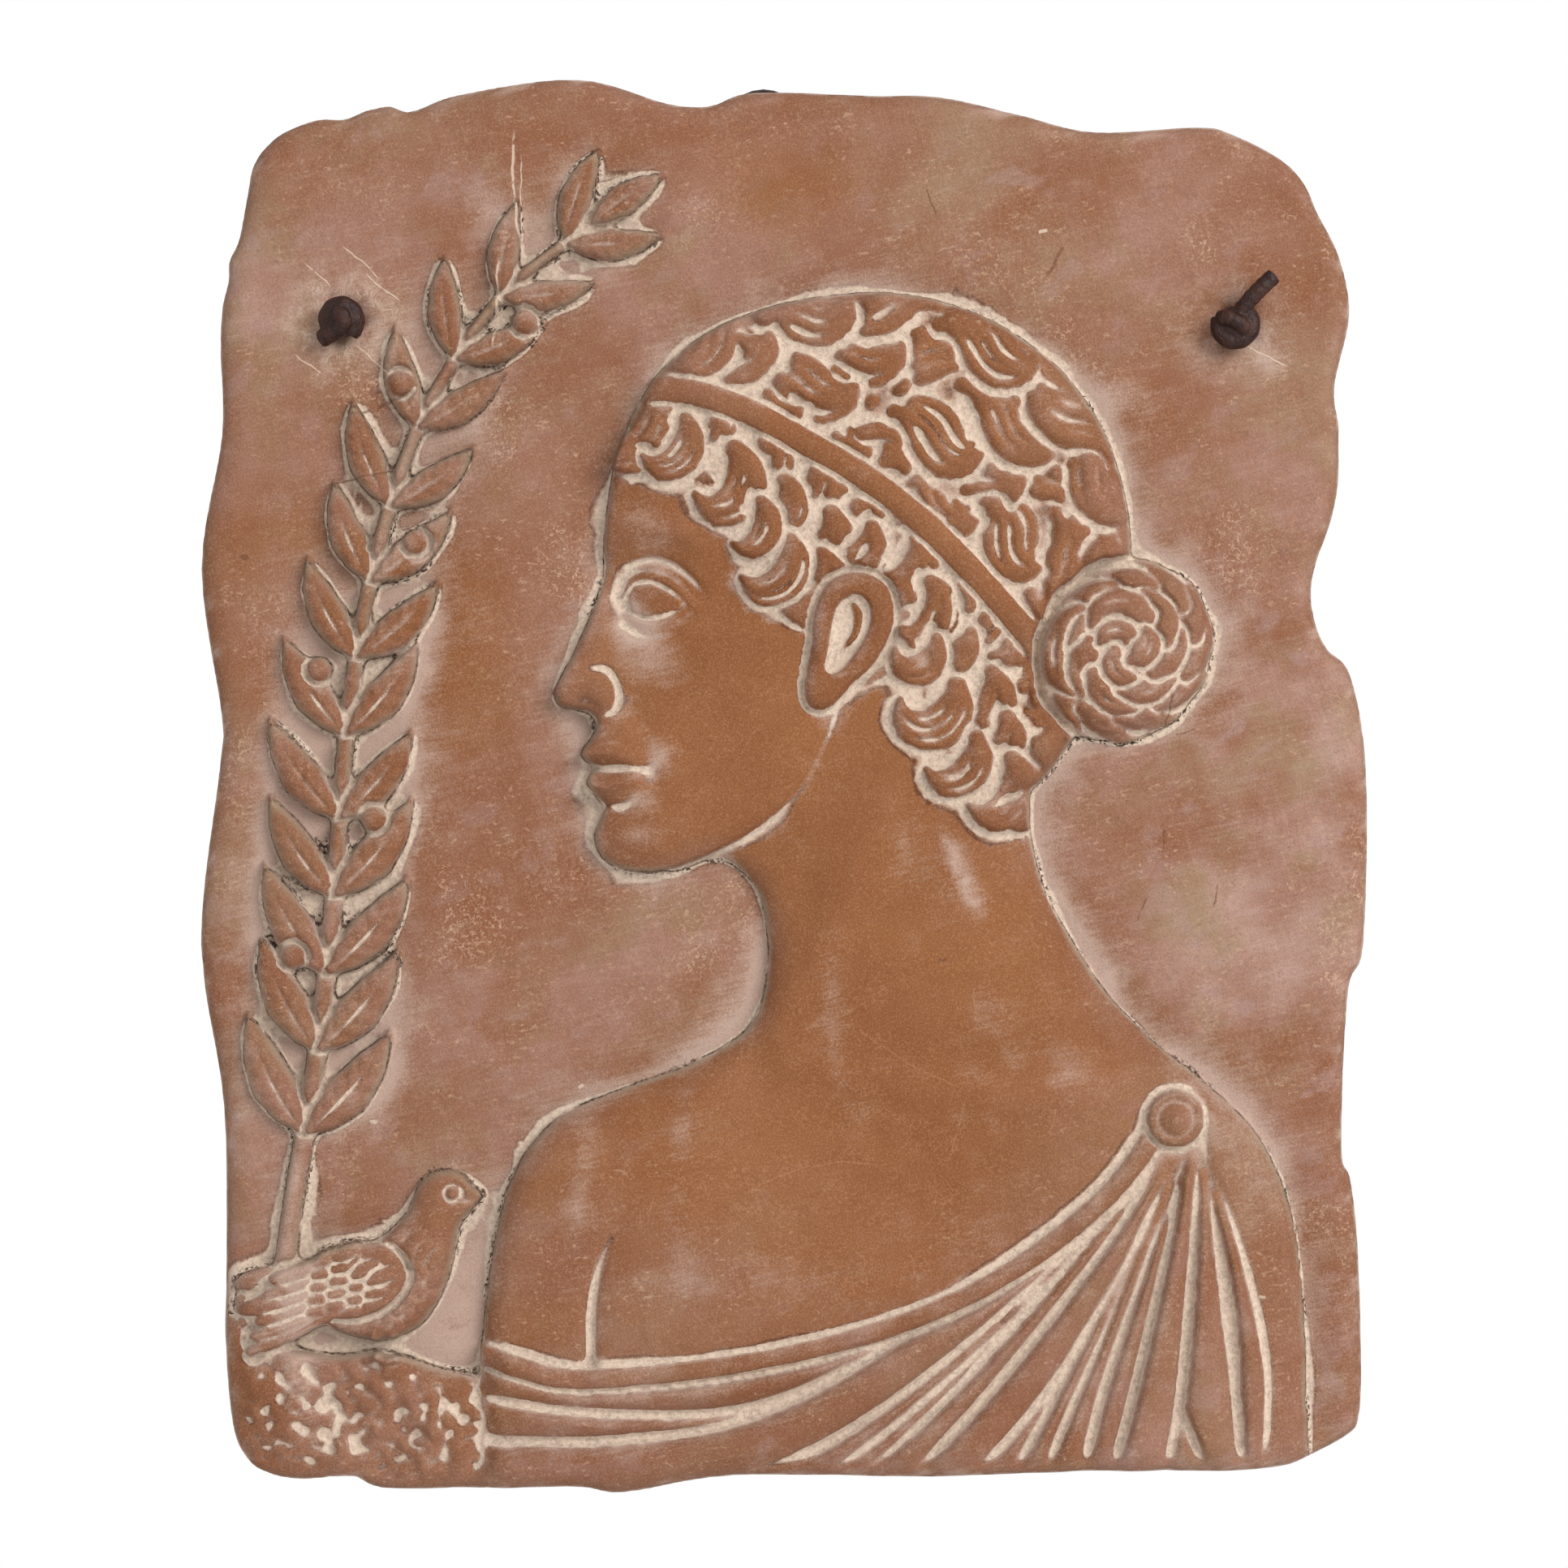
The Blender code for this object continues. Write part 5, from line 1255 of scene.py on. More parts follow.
SMEARED = listed(Smudge,
    (-35, 37, 3.6, 4.5, 20, 0.9), (-32, 30, 4, 6, 30, 0.45), (-27, 27, 6, 4, 0, 0.25),
    (-29, 7, 2.4, 2.8, 0, 0.6), (-33, -4, 3.4, 2.2, 0, 0.5), (-33.5, -12, 3.4, 2.2, 0, 0.45),
    (-47, -92, 3.2, 12, -6, 0.4), (-14, -114, 26, 4, 3, 0.22), (46, -104, 18, 4, 24, 0.18),
    (98, -72, 5, 12, 35, 0.34), (30, -16, 4, 16, 16, 0.16), (-22, -72, 5, 7, 0, 0.14),
    (58, -60, 14, 5, -35, 0.14), (-112, -120, 4, 30, 3, 0.45), (-66, 132, 9, 3, -40, 0.35),
    (-104, 107, 12, 9, 0, 0.4), (102, 104, 11, 9, 0, 0.3), (72, 88, 14, 2.6, 12, 0.35),
    (108, -92, 5, 9, 0, 0.3), (-84, 60, 7, 10, 0, 0.2), (110, 100, 6, 2.6, -40, 0.7),
    (-31, 57, 5, 7, 10, 0.35), (41, -21, 1.5, 8, 22, 0.75), (41, -24, 4, 10, 22, 0.18),
    (12, -58, 2.6, 20, 6, 0.22), (-24, -92, 2.4, 18, -4, 0.22), (44, -58, 2.2, 14, -10, 0.2),
    (64, -66, 3, 8, 30, 0.2))


@dataclass
class Relief:
    """The whole relief in one sheet of clay, and what lies on it."""

    pitch: float = 0.45
    outline: Outline = field(default_factory=Outline)
    clay: Clay = field(init=False)
    ground: Ground = field(init=False)

    def __post_init__(self) -> None:
        """Lay out the clay and its plain ground."""
        self.clay = Clay(self.pitch)
        self.ground = Ground(self.clay, self.outline)

    def model(self) -> Clay:
        """Model all figures from the back forwards, and then the ground.

        Returns:
            The finished clay.
        """
        clay = self.clay
        bust = Bust(clay)
        bust.model_body()
        body = clay.raised.copy()
        bust.model_face()
        Rock(clay).model(body)
        Laurel(clay).model()
        Dove(clay).model()
        Hair(clay).model()
        bust.model_ear()
        Dress(clay).model(bust.body_depth)
        self.ground.finish()
        return clay

    def washes(self) -> dict[Wash, Array]:
        """Work out where each wash lies.

        Returns:
            For each wash its weight, at least 0, as a map.
        """
        clay, h = self.clay, self.clay.height
        raised = clay.raised.astype(float)
        narrow, wide = (clay.blurred(h, sigma) - h for sigma in (1.0, 2.6))
        level = np.maximum(0.30 + 0.11 * clay.noise(11, 41) + 0.05 * clay.noise(3.5, 42), 0.24)
        level += 0.9 * self.smudged(WIPED) - 0.24 * self.smudged(FILLED)
        plain = np.clip(1 - clay.blurred(np.abs(narrow), 1.5) / 0.09, 0, 1)
        slip = (narrow + 0.3 * wide - level) / 0.42 - 0.6 * plain
        near, far = (clay.blurred(raised, sigma) for sigma in (3.0, 9.0))
        close = 0.6 * clay.blurred(raised, 1.5) + 0.4 * near
        reach = 0.28 + 0.09 * clay.noise(14, 43) + 0.03 * clay.noise(3, 44)
        line = (close - np.clip(reach, 0.10, 0.42)) / 0.12
        line += 2.0 * self.smudged(POOLED) - np.clip(0.8 * clay.noise(19, 45), 0, 1.5)
        slip = np.where(clay.raised, slip, line)
        spread = np.clip(0.95 + 0.45 * clay.noise(18, 46), 0.3, 1.5)
        halo = (1.4 * near + 0.9 * far) * spread * (1 - raised)
        hollow = np.clip((clay.blurred(h, 5.0) - h - 0.55) / 1.6, 0, 1)
        dusty = 0.5 * np.clip(narrow / 0.22, 0, 1) + 0.8 * hollow
        dusty += 0.6 * self.dragged(np.clip(slip, 0, 1))
        halo = clay.blurred(halo, 0.5) + dusty * raised
        grime = raised * np.clip(1.9 - 2.6 * clay.blurred(raised, 2.6), 0, 1)
        grime = 0.5 * grime * np.clip(0.2 + 0.7 * clay.noise(16, 47), 0, 1)
        clouds = 0.55 + 0.13 * clay.noise(40, 48) + 0.08 * clay.noise(15, 49)
        clean = 0.75 * near + 0.25 * clay.blurred(raised, 14.0)
        haze = clouds * (1 - clean * (0.5 + 0.5 * self.smudged(HANDLED)))
        haze += self.smudged(CLOUDED) * (1 - 0.4 * raised)
        return {
            Wash.SLIP: np.clip(slip + DRY, 0, 2 * DRY),
            Wash.HALO: np.clip(halo + self.smudged(SMEARED), 0, 1.5),
            Wash.SOOT: grime,
            Wash.RUBBED: np.clip((h - clay.blurred(h, 2.2)) / 0.7, 0, 1),
            Wash.HAZE: np.clip(haze, 0, 1.2),
            Wash.EDGE: clay.blurred(raised, 1.2),
            Wash.RIM: np.exp(-self.ground.inwards / 2.2),
        }

    def smudged(self, smudges: Sequence[Smudge]) -> Array:
        """Add up soft smudges.

        Args:
            smudges: The smudges.

        Returns:
            Their weight, as a map.
        """
        total = np.zeros_like(self.clay.height)
        for s in smudges:
            out = self.clay.oval((s.x, s.z), (s.length, s.width), math.radians(s.angle))
            total += s.weight * np.exp(-0.5 * out ** 2.6)
        return np.minimum(total, 1.0)

    def dragged(self, weights: Array, steps: int = 6, keep: float = 0.8) -> Array:
        """Drag a wash down and to the right, as a cloth does.

        Args:
            weights: The wash's weights.
            steps: How many cells it is dragged.
            keep: What is left of it after each.

        Returns:
            The dragged weights.
        """
        out = weights
        for _ in range(steps):
            out = np.maximum(out, keep * np.roll(out, (-1, 1), (0, 1)))
        return out


# ---- pieces ----
def linked(name: str, data: bpy.types.ID) -> Object:
    """Put a mesh, curve, light or camera into the scene.

    Args:
        name: The object's name.
        data: What it shows.

    Returns:
        The object.
    """
    made = bpy.data.objects.new(name, data)
    bpy.context.collection.objects.link(made)
    return made


def modified(rough: Object) -> bpy.types.Mesh:
    """Mesh of an object as its modifiers leave it."""
    graph = bpy.context.evaluated_depsgraph_get()
    return bpy.data.meshes.new_from_object(rough.evaluated_get(graph))


def dressed(name: str, mesh: bpy.types.Mesh, material: Material) -> Object:
    """Give a finished mesh its material and put it into the scene.

    Args:
        name: The piece's name.
        mesh: Its mesh.
        material: What it is made of.

    Returns:
        The piece.
    """
    mesh.materials.clear()
    mesh.materials.append(material)
    mesh.shade_smooth()
    return linked(name, mesh)


@dataclass
class Slab:
    """The fired slab with its relief, its walls, its back and the two holes."""

    relief: Relief
    columns: int = 528
    rows: int = 640
    coarse: int = 4
    triangles: int = 186000
    wall_steps: int = 5
    round_steps: int = 4
    back_round: float = 2.5
    wall_wobble: float = 0.5
    wall_lump: float = 9.0
    half_width: float = 130.0
    calm_border: float = 1 / 24
    hole_radius: float = 3.4
    under_rim: float = 0.5
    washed_wall: float = 1.5

    def border(self) -> Array:
        """Numbers of the grid's border points, round from the bottom left corner."""
        grid = np.arange((self.rows + 1) * (self.columns + 1)).reshape(self.rows + 1, -1)
        return np.concatenate([grid[0, :-1], grid[:-1, -1], grid[-1, :0:-1], grid[:0:-1, 0]])

    def shares(self, step: int) -> tuple[Array, Array]:
        """Spread a grid evenly over the slab.

        Args:
            step: How many cells of the front's grid one of its cells takes.

        Returns:
            The shares across and up of its points.
        """
        up, across = np.meshgrid(
            np.linspace(0, 1, self.rows // step + 1), np.linspace(0, 1, self.columns // step + 1),
            indexing="ij")
        return across, up

    def front(self) -> Array:
        """Lay the front's grid on the clay.

        Returns:
            Its points: x, depth behind the ground and z.
        """
        clay = self.relief.clay
        across, up = self.shares(1)
        plane = self.relief.outline.patch(across.ravel(), up.ravel())
        return np.stack([plane[:, 0], -clay.sampled(clay.height, plane), plane[:, 1]], 1)

    def wall_profile(self) -> Array:
        """Draw the wall from the rim round to the back.

        Returns:
            The inset and the depth of each ring of points.
        """
        rim = self.relief.ground.rim_drop + self.under_rim
        straight = np.linspace(rim, THICKNESS - self.back_round, self.wall_steps)[1:]
        turn = 0.5 * math.pi * np.arange(1, self.round_steps + 1) / self.round_steps
        inset = np.append(np.zeros(len(straight)), self.back_round * (1 - np.cos(turn)))
        depth = np.append(straight, THICKNESS - self.back_round * (1 - np.sin(turn)))
        return np.stack([inset, depth], 1)

    def walls(self, edge: Array) -> list[Array]:
        """Build the rings of the wall.

        Args:
            edge: Points of the rim.

        Returns:
            The points of each ring.
        """
        clay, plane = self.relief.clay, edge[:, [0, 2]]
        profile = self.wall_profile()
        rings = []
        for number, (inset, depth) in enumerate(profile):
            uneven = clay.sampled(clay.noise(self.wall_lump, 50 + number), plane)
            bulge = math.sin(math.pi * (number + 1) / len(profile))
            worn = self.wall_wobble * (1 + uneven) * bulge
            shrink = 1 - (inset + np.clip(worn, 0, None)) / np.hypot(*plane.T)
            rings.append(np.insert(plane * shrink[:, None], 1, depth, axis=1))
        return rings

    def back(self) -> Array:
        """Lay the back's own coarser grid, softly uneven.

        Returns:
            Its points without its border.
        """
        clay = self.relief.clay
        across, up = (share[1:-1, 1:-1].ravel() for share in self.shares(self.coarse))
        plane = self.relief.outline.patch(across, up) * (1 - self.back_round / self.half_width)
        dents = 0.22 * clay.noise(16, 60) + 0.10 * clay.noise(5, 61)
        sunk = np.clip(0.35 + clay.sampled(dents, plane), 0, 1.2)
        for share in (across, up):
            sunk *= np.minimum(1, np.minimum(share, 1 - share) / self.calm_border)
        return np.insert(plane, 1, THICKNESS - sunk, axis=1)

    def back_faces(self, first_ring: int, first_inner: int) -> list[list[int]]:
        """Join the back's grid to the last ring of the wall.

        Args:
            first_ring: Number of the last ring's first point.
            first_inner: Number of the first point inside the back.

        Returns:
            The faces, with the ring's points between corners on the border.
        """
        n, m, step = self.columns // self.coarse, self.rows // self.coarse, self.coarse
        ring = np.arange(first_ring, first_inner, step)
        numbers = np.empty((m + 1, n + 1), int)
        numbers[0, :-1], numbers[:-1, -1] = ring[:n], ring[n:n + m]
        numbers[-1, :0:-1], numbers[:0:-1, 0] = ring[n + m:-m], ring[-m:]
        numbers[1:-1, 1:-1] = first_inner + np.arange((m - 1) * (n - 1)).reshape(m - 1, -1)

        def side(row: int, column: int, outer: bool) -> list[int]:
            """A cell's corner, and on the border the ring's points up to the next corner."""
            return [int(numbers[row, column]) + k for k in range(step if outer else 1)]

        faces = []
        for j, i in np.ndindex(m, n):
            face = side(j, i, j == 0) + side(j, i + 1, i == n - 1)
            face += side(j + 1, i + 1, j == m - 1) + side(j + 1, i, i == 0)
            faces.append(face[::-1])
        return faces

    def mesh(self) -> bpy.types.Mesh:
        """Build the closed slab before it is thinned out.

        Returns:
            The mesh.
        """
        front, border = self.front(), self.border()
        rings = self.walls(front[border])
        points = np.vstack([front, *rings, self.back()])
        grid = np.arange(len(front)).reshape(self.rows + 1, -1)
        cells = np.stack([grid[:-1, :-1], grid[:-1, 1:], grid[1:, 1:], grid[1:, :-1]], -1)
        quads = [cells.reshape(-1, 4)]
        upper = border
        for number in range(len(rings)):
            lower = len(front) + number * len(border) + np.arange(len(border))
            quads.append(np.stack([upper, lower, np.roll(lower, -1), np.roll(upper, -1)], 1))
            upper = lower
        faces = np.vstack(quads).tolist()
        faces += self.back_faces(int(upper[0]), len(front) + len(rings) * len(border))
        mesh = bpy.data.meshes.new("slab_grid")
        mesh.from_pydata(to_world(points[:, 0], -points[:, 1], points[:, 2]), [], faces)
        return mesh

    def cutters(self) -> list[Object]:
        """Make the cylinders that cut the holes for the lace.

        Returns:
            The cylinders.
        """
        made = []
        for x, z in HOLES:
            bpy.ops.mesh.primitive_cylinder_add(
                vertices=32, radius=self.hole_radius * MM, depth=3 * THICKNESS * MM,
                location=to_world(x, -THICKNESS / 2, z), rotation=(math.pi / 2, 0, 0))
            made.append(bpy.context.object)
        return made

    def build(self, material: Material) -> Object:
        """Build the slab, thin it out, cut its holes and lay its washes.

        Args:
            material: The fired clay.

        Returns:
            The finished piece.
        """
        self.relief.model()
        rough = linked("slab_rough", self.mesh())
        triangles = sum(len(face.vertices) - 2 for face in rough.data.polygons)
        thinned = rough.modifiers.new("thinned", "DECIMATE")
        thinned.ratio = self.triangles / triangles
        cutters = self.cutters()
        for cutter in cutters:
            rough.modifiers.new("hole", "BOOLEAN").object = cutter
        mesh = modified(rough)
        mesh.name = "terracotta_relief"
        for guide in [rough, *cutters]:
            bpy.data.objects.remove(guide)
        self.lay_washes(mesh)
        return dressed("terracotta_relief", mesh, material)

    def lay_washes(self, mesh: bpy.types.Mesh) -> None:
        """Store each wash's weight at the mesh's points, and keep them in the CAD box.

        Args:
            mesh: The slab's mesh.
        """
        flat = np.empty(3 * len(mesh.vertices))
        mesh.vertices.foreach_get("co", flat)
        low, high = (np.array(corner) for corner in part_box(Node.PLAQUE.value))
        points = np.clip(flat.reshape(-1, 3), low, high)
        mesh.vertices.foreach_set("co", points.ravel())
        plane = points[:, [0, 2]] / MM + NAIL
        height = -points[:, 1] / MM - BACK_GAP - THICKNESS
        facing = ease((height + self.relief.ground.rim_drop) / self.washed_wall + 1)
        for wash, weights in self.relief.washes().items():
            values = self.relief.clay.sampled(weights, plane)
            if wash is not Wash.RIM:
                values = values * facing
            attribute = mesh.attributes.new(wash.value, "FLOAT", "POINT")
            attribute.data.foreach_set("value", values.astype(np.float32))


@dataclass
class Lace:
    """One leather lace: behind the slab over the nail, and knotted before each hole.

    A wrap of a knot has its radius and its line about the knot's middle.
    """

    radius: float = 2.0
    route: Points = (
        (-102, -24.7, 107), (-102, -18, 107), (-102, -13, 107), (-101.9, -8, 107.1),
        (-101.1, -4, 107.5), (-98.5, -1.1, 109), (-95.1, 0, 111), (-85, 0, 116.9), (-70, 0, 125.7),
        (-50, 0, 137.4), (-30, 0, 149.1), (-17, 0, 156.7), (-9, 0, 161.4), (-5, 0, 162.5),
        (-1.3, 0, 161.6), (6, 0, 157.7), (20, 0, 150.3), (40, 0, 139.8), (60, 0, 129.2),
        (78, 0, 119.7), (90, 0, 113.3), (96.9, 0, 109.7), (100.5, -1.1, 107.8), (103, -4, 106.5),
        (103.9, -8, 106.1), (104, -13, 106), (104, -18, 106), (104, -24.7, 106))
    steps: int = 130
    pressed: float = 0.97
    cord_swell: float = 0.015
    knot_swell: float = 0.03
    swell_turn: float = 0.9
    knot_names: tuple[str, str] = ("lace_knot_left", "lace_knot_right")
    knot_gap: float = 0.4
    knot_depth: float = 8.2
    core: tuple[float, float, float] = (4.2, 2.8, 4.2)
    voxel: float = 0.24
    wrap_steps: int = 48
    wraps: tuple = (
        ((2.5, ((-2.4, -0.6, -1.8), (-3.0, -0.4, 0.4), (-1.6, 0.2, 2.6), (0.8, 0.5, 2.9),
                (2.7, 0.2, 1.2), (2.8, -0.2, -1.2), (1.6, -0.6, -3.0))),
         (2.1, ((-1.4, 1.7, 1.2), (0.2, 2.1, 0.9), (0.8, 1.9, -0.6), (-0.1, 1.5, -2.0),
                (-2.0, 0.4, -3.0), (-3.8, -0.9, -3.8), (-4.9, -1.4, -4.3)))),
        ((2.1, ((-3.4, -0.6, 1.4), (-3.6, -0.4, -1.0), (-1.9, -0.2, -3.3), (0.8, 0.1, -3.7),
                (3.1, 0.4, -2.1), (3.7, 0.4, 0.4), (2.4, -0.2, 2.7), (0, -0.8, 3.4))),
         (2.0, ((-3.4, 0.2, 1.2), (-2.0, 1.7, 1.2), (0.2, 2.1, 0.3), (1.7, 1.5, -0.8),
                (2.6, 0.2, -1.6))),
         (1.95, ((0.4, -0.2, 0.6), (1.2, 0.4, 2.4), (3.0, 1.1, 5.2), (5.8, 1.5, 8.2),
                 (8.8, 1.3, 11.0)))))

    def tube(self, name: str, line: Array, radius: float, swell: float) -> Object:
        """Make a round tube along a line.

        Args:
            name: The piece's name.
            line: The line, in metres.
            radius: The tube's radius, in millimetres.
            swell: How much its thickness varies, as a share.

        Returns:
            The piece.
        """
        curve = bpy.data.curves.new(name, "CURVE")
        curve.dimensions = "3D"
        curve.bevel_depth = radius * MM
        curve.bevel_resolution = 5
        curve.use_fill_caps = True
        spline = curve.splines.new("POLY")
        spline.points.add(len(line) - 1)
        rng = np.random.default_rng(len(line))
        for number, (point, place) in enumerate(zip(spline.points, line)):
            point.co = (*place, 1)
            point.radius = 1 + swell * math.sin(self.swell_turn * number + rng.random())
        return linked(name, curve)

    def knot(self, side: int, material: Material) -> Object:
        """Pull a knot tight before a hole, its wraps pressed into each other.

        Args:
            side: 0 for the left hole, 1 for the right one.
            material: Its leather.

        Returns:
            The piece.
        """
        name, (x, z) = self.knot_names[side], HOLES[side]
        middle = PAD_LEVEL + self.knot_gap + self.knot_depth / 2

        def placed(points: Array) -> Array:
            """Take points about the knot's middle to the world."""
            return to_world(x + points[:, 0], middle + points[:, 1], z + points[:, 2])

        parts = []
        for radius, line in self.wraps[side]:
            path = placed(spaced(smooth(line), self.wrap_steps))
            parts.append(self.tube(name, path, radius, self.knot_swell))
        bpy.ops.mesh.primitive_ico_sphere_add(
            subdivisions=4, radius=MM, location=placed(np.zeros((1, 3)))[0])
        parts.append(bpy.context.object)
        parts[-1].scale = self.core
        return dressed(name, self.fused(name, parts), material)

    def fused(self, name: str, parts: list[Object]) -> bpy.types.Mesh:
        """Fuse parts into one closed skin, and remove them.

        Args:
            name: The mesh's name.
            parts: The parts.

        Returns:
            The skin.
        """
        joined = bmesh.new()
        for part in parts:
            mesh = modified(part)
            mesh.transform(part.matrix_world)
            joined.from_mesh(mesh)
        for part in parts:
            bpy.data.objects.remove(part)
        mesh = bpy.data.meshes.new(name)
        joined.to_mesh(mesh)
        rough = linked(name, mesh)
        remesh = rough.modifiers.new("fused", "REMESH")
        remesh.mode = "VOXEL"
        remesh.voxel_size = self.voxel * MM
        rough.modifiers.new("soft", "SMOOTH").iterations = 1
        mesh = modified(rough)
        bpy.data.objects.remove(rough)
        return mesh

    def build(self, material: Material) -> list[Object]:
        """Args:
            material: The leather.

        Returns:
            The three pieces.
        """
        knots = [self.knot(side, material) for side in (0, 1)]
        line = (spaced(smooth(self.route), self.steps) - (NAIL[0], 0, NAIL[1])) * MM
        lace = self.tube("lace_behind_slab", line, self.pressed * self.radius, self.cord_swell)
        lace.data.materials.append(material)
        return [lace, *knots]


# ---- finishes ----
def linear(red: int, green: int, blue: int) -> tuple[float, float, float, float]:
    """Turn a colour as a screen shows it into light."""
    return (*(((c / 255 + 0.055) / 1.055) ** 2.4 for c in (red, green, blue)), 1.0)


@dataclass(frozen=True)
class Mark:
    """A scratch or a fleck: its middle, direction, length and half-width, and its bow."""

    x: float
    z: float
    angle: float
    length: float
    width: float = 0.3
    bow: float = 260.0


class Recipe:
    """Writes a material's nodes, in millimetres of the object's own space."""

    grain: float = 0.55
    specular: float = 0.2

    def __init__(self, name: str, colour: Value) -> None:
        """Start a material.

        Args:
            name: Its name.
            colour: Its first colour, which others are laid over.
        """
        self.material = bpy.data.materials.new(name)
        self.material.use_nodes = True
        self.tree = self.material.node_tree
        self.shader = self.tree.nodes["Principled BSDF"]
        self.colour = colour
        coordinates = self.tree.nodes.new("ShaderNodeTexCoord").outputs["Object"]
        self.place = self.vector("MULTIPLY", coordinates, (1000, 1000, 1000))
        self.flat = self.vector("MULTIPLY", self.place, (1, 0, 1))

    def node(self, kind: str, inputs: Sequence[Value] | dict[str | int, Value],
             **settings: str | bool) -> Socket:
        """Add a node.

        Args:
            kind: Its type.
            inputs: What goes into it, in order or by name: sockets or plain values.
            settings: Its properties.

        Returns:
            Its first shown output.
        """
        node = self.tree.nodes.new(kind)
        for name, value in settings.items():
            setattr(node, name, value)
        named = inputs.items() if isinstance(inputs, dict) else enumerate(inputs)
        for key, value in named:
            if isinstance(value, Socket):
                self.tree.links.new(value, node.inputs[key])
            elif value is not None:
                node.inputs[key].default_value = value
        return next(socket for socket in node.outputs if socket.enabled)

    def math(self, operation: str, *values: Value) -> Socket:
        """Combine numbers."""
        return self.node("ShaderNodeMath", values, operation=operation)

    def vector(self, operation: str, *values: Value) -> Socket:
        """Combine vectors."""
        return self.node("ShaderNodeVectorMath", values, operation=operation)

    def chain(self, operation: str, values: Sequence[Value]) -> Value:
        """Combine several numbers, one after the other.

        Args:
            operation: What is done with two of them.
            values: The numbers.

        Returns:
            The last result.
        """
        total = values[0]
        for value in values[1:]:
            total = self.math(operation, total, value)
        return total

    def times(self, *values: Value) -> Value:
        """Multiply several numbers."""
        return self.chain("MULTIPLY", values)

    def plus(self, *values: Value) -> Value:
        """Add several numbers."""
        return self.chain("ADD", values)

    def most(self, *values: Value) -> Value:
        """The greatest of several numbers."""
        return self.chain("MAXIMUM", values)

    def ramp(self, value: Value, low: float, high: float) -> Socket:
        """Soft step of a number: 0 at low, 1 at high."""
        return self.node(
            "ShaderNodeMapRange", [value, low, high, 0.0, 1.0], interpolation_type="SMOOTHSTEP")

    def noise(self, size: float, detail: float = 2.0, stretch: Sequence[float] = (1, 1, 1),
              turn: float = 0.0, seed: float = 0.0) -> Socket:
        """Make noise about 0.5.

        Args:
            size: Size of its lumps in millimetres.
            detail: How many finer layers it has.
            stretch: How far the lumps are drawn out along each axis.
            turn: How far they are turned in the slab's plane.
            seed: Which noise.

        Returns:
            The noise.
        """
        place = self.node("ShaderNodeMapping", {"Vector": self.place,
                                                "Location": (seed, 7.3 * seed, 3.1 * seed),
                                                "Rotation": (0.0, turn, 0.0)})
        place = self.vector("MULTIPLY", place, tuple(1 / (size * s) for s in stretch))
        return self.node(
            "ShaderNodeTexNoise",
            {"Vector": place, "Scale": 1.0, "Detail": detail, "Roughness": self.grain})

    def ripple(self, size: float, seed: float, height: float) -> Socket:
        """Noise about 0, of a height."""
        return self.times(self.math("SUBTRACT", self.noise(size, 2, seed=seed), 0.5), height)

    def reach(self, x: float, z: float) -> Socket:
        """Distance from a place of the slab's plane."""
        apart = self.vector("DISTANCE", self.flat, (x - NAIL[0], 0, z - NAIL[1]))
        return apart.node.outputs["Value"]

    def mark(self, mark: Mark, waver: Value) -> Socket:
        """Where a mark on the slab's front is.

        Args:
            mark: The mark.
            waver: Noise that bends its line.

        Returns:
            Its weight: 1 on it, 0 off it.
        """
        angle = math.radians(mark.angle)
        centre = (mark.x - mark.bow * math.sin(angle), mark.z + mark.bow * math.cos(angle))
        off = self.math("SUBTRACT", self.reach(*centre), abs(mark.bow))
        off = self.math("ABSOLUTE", self.plus(off, waver))
        line = self.ramp(off, mark.width, 0.35 * mark.width)
        out = self.reach(mark.x, mark.z)
        return self.times(line, self.ramp(out, 0.5 * mark.length, 0.36 * mark.length))

    def weight(self, wash: Wash) -> Socket:
        """A wash's own weight."""
        return self.node("ShaderNodeAttribute", (), attribute_name=wash.value).node.outputs["Fac"]

    def cover(self, under: Value, over: Value, share: Value) -> Socket:
        """Lay one colour over another."""
        mix = self.node("ShaderNodeMix", {0: share, 6: under, 7: over}, data_type="RGBA")
        return mix.node.outputs[2]

    def lay(self, colour: Value, *shares: Value) -> None:
        """Lay a colour over what is there, by the product of the shares."""
        self.colour = self.cover(self.colour, colour, self.times(*shares))

    def finish(self, roughness: Value, *layers: tuple[Value, float]) -> Material:
        """Give the shader its colour, its roughness and its bumps.

        Args:
            roughness: The roughness.
            layers: Layers of bumps from the lowest up, each with its height in millimetres.

        Returns:
            The material.
        """
        normal = None
        for height, distance in layers:
            normal = self.node(
                "ShaderNodeBump", {"Height": height, "Distance": distance * MM, "Normal": normal})
        for name, value in (("Base Color", self.colour), ("Roughness", roughness),
                            ("Normal", normal)):
            self.tree.links.new(value, self.shader.inputs[name])
        self.shader.inputs["Specular IOR Level"].default_value = self.specular
        return self.material


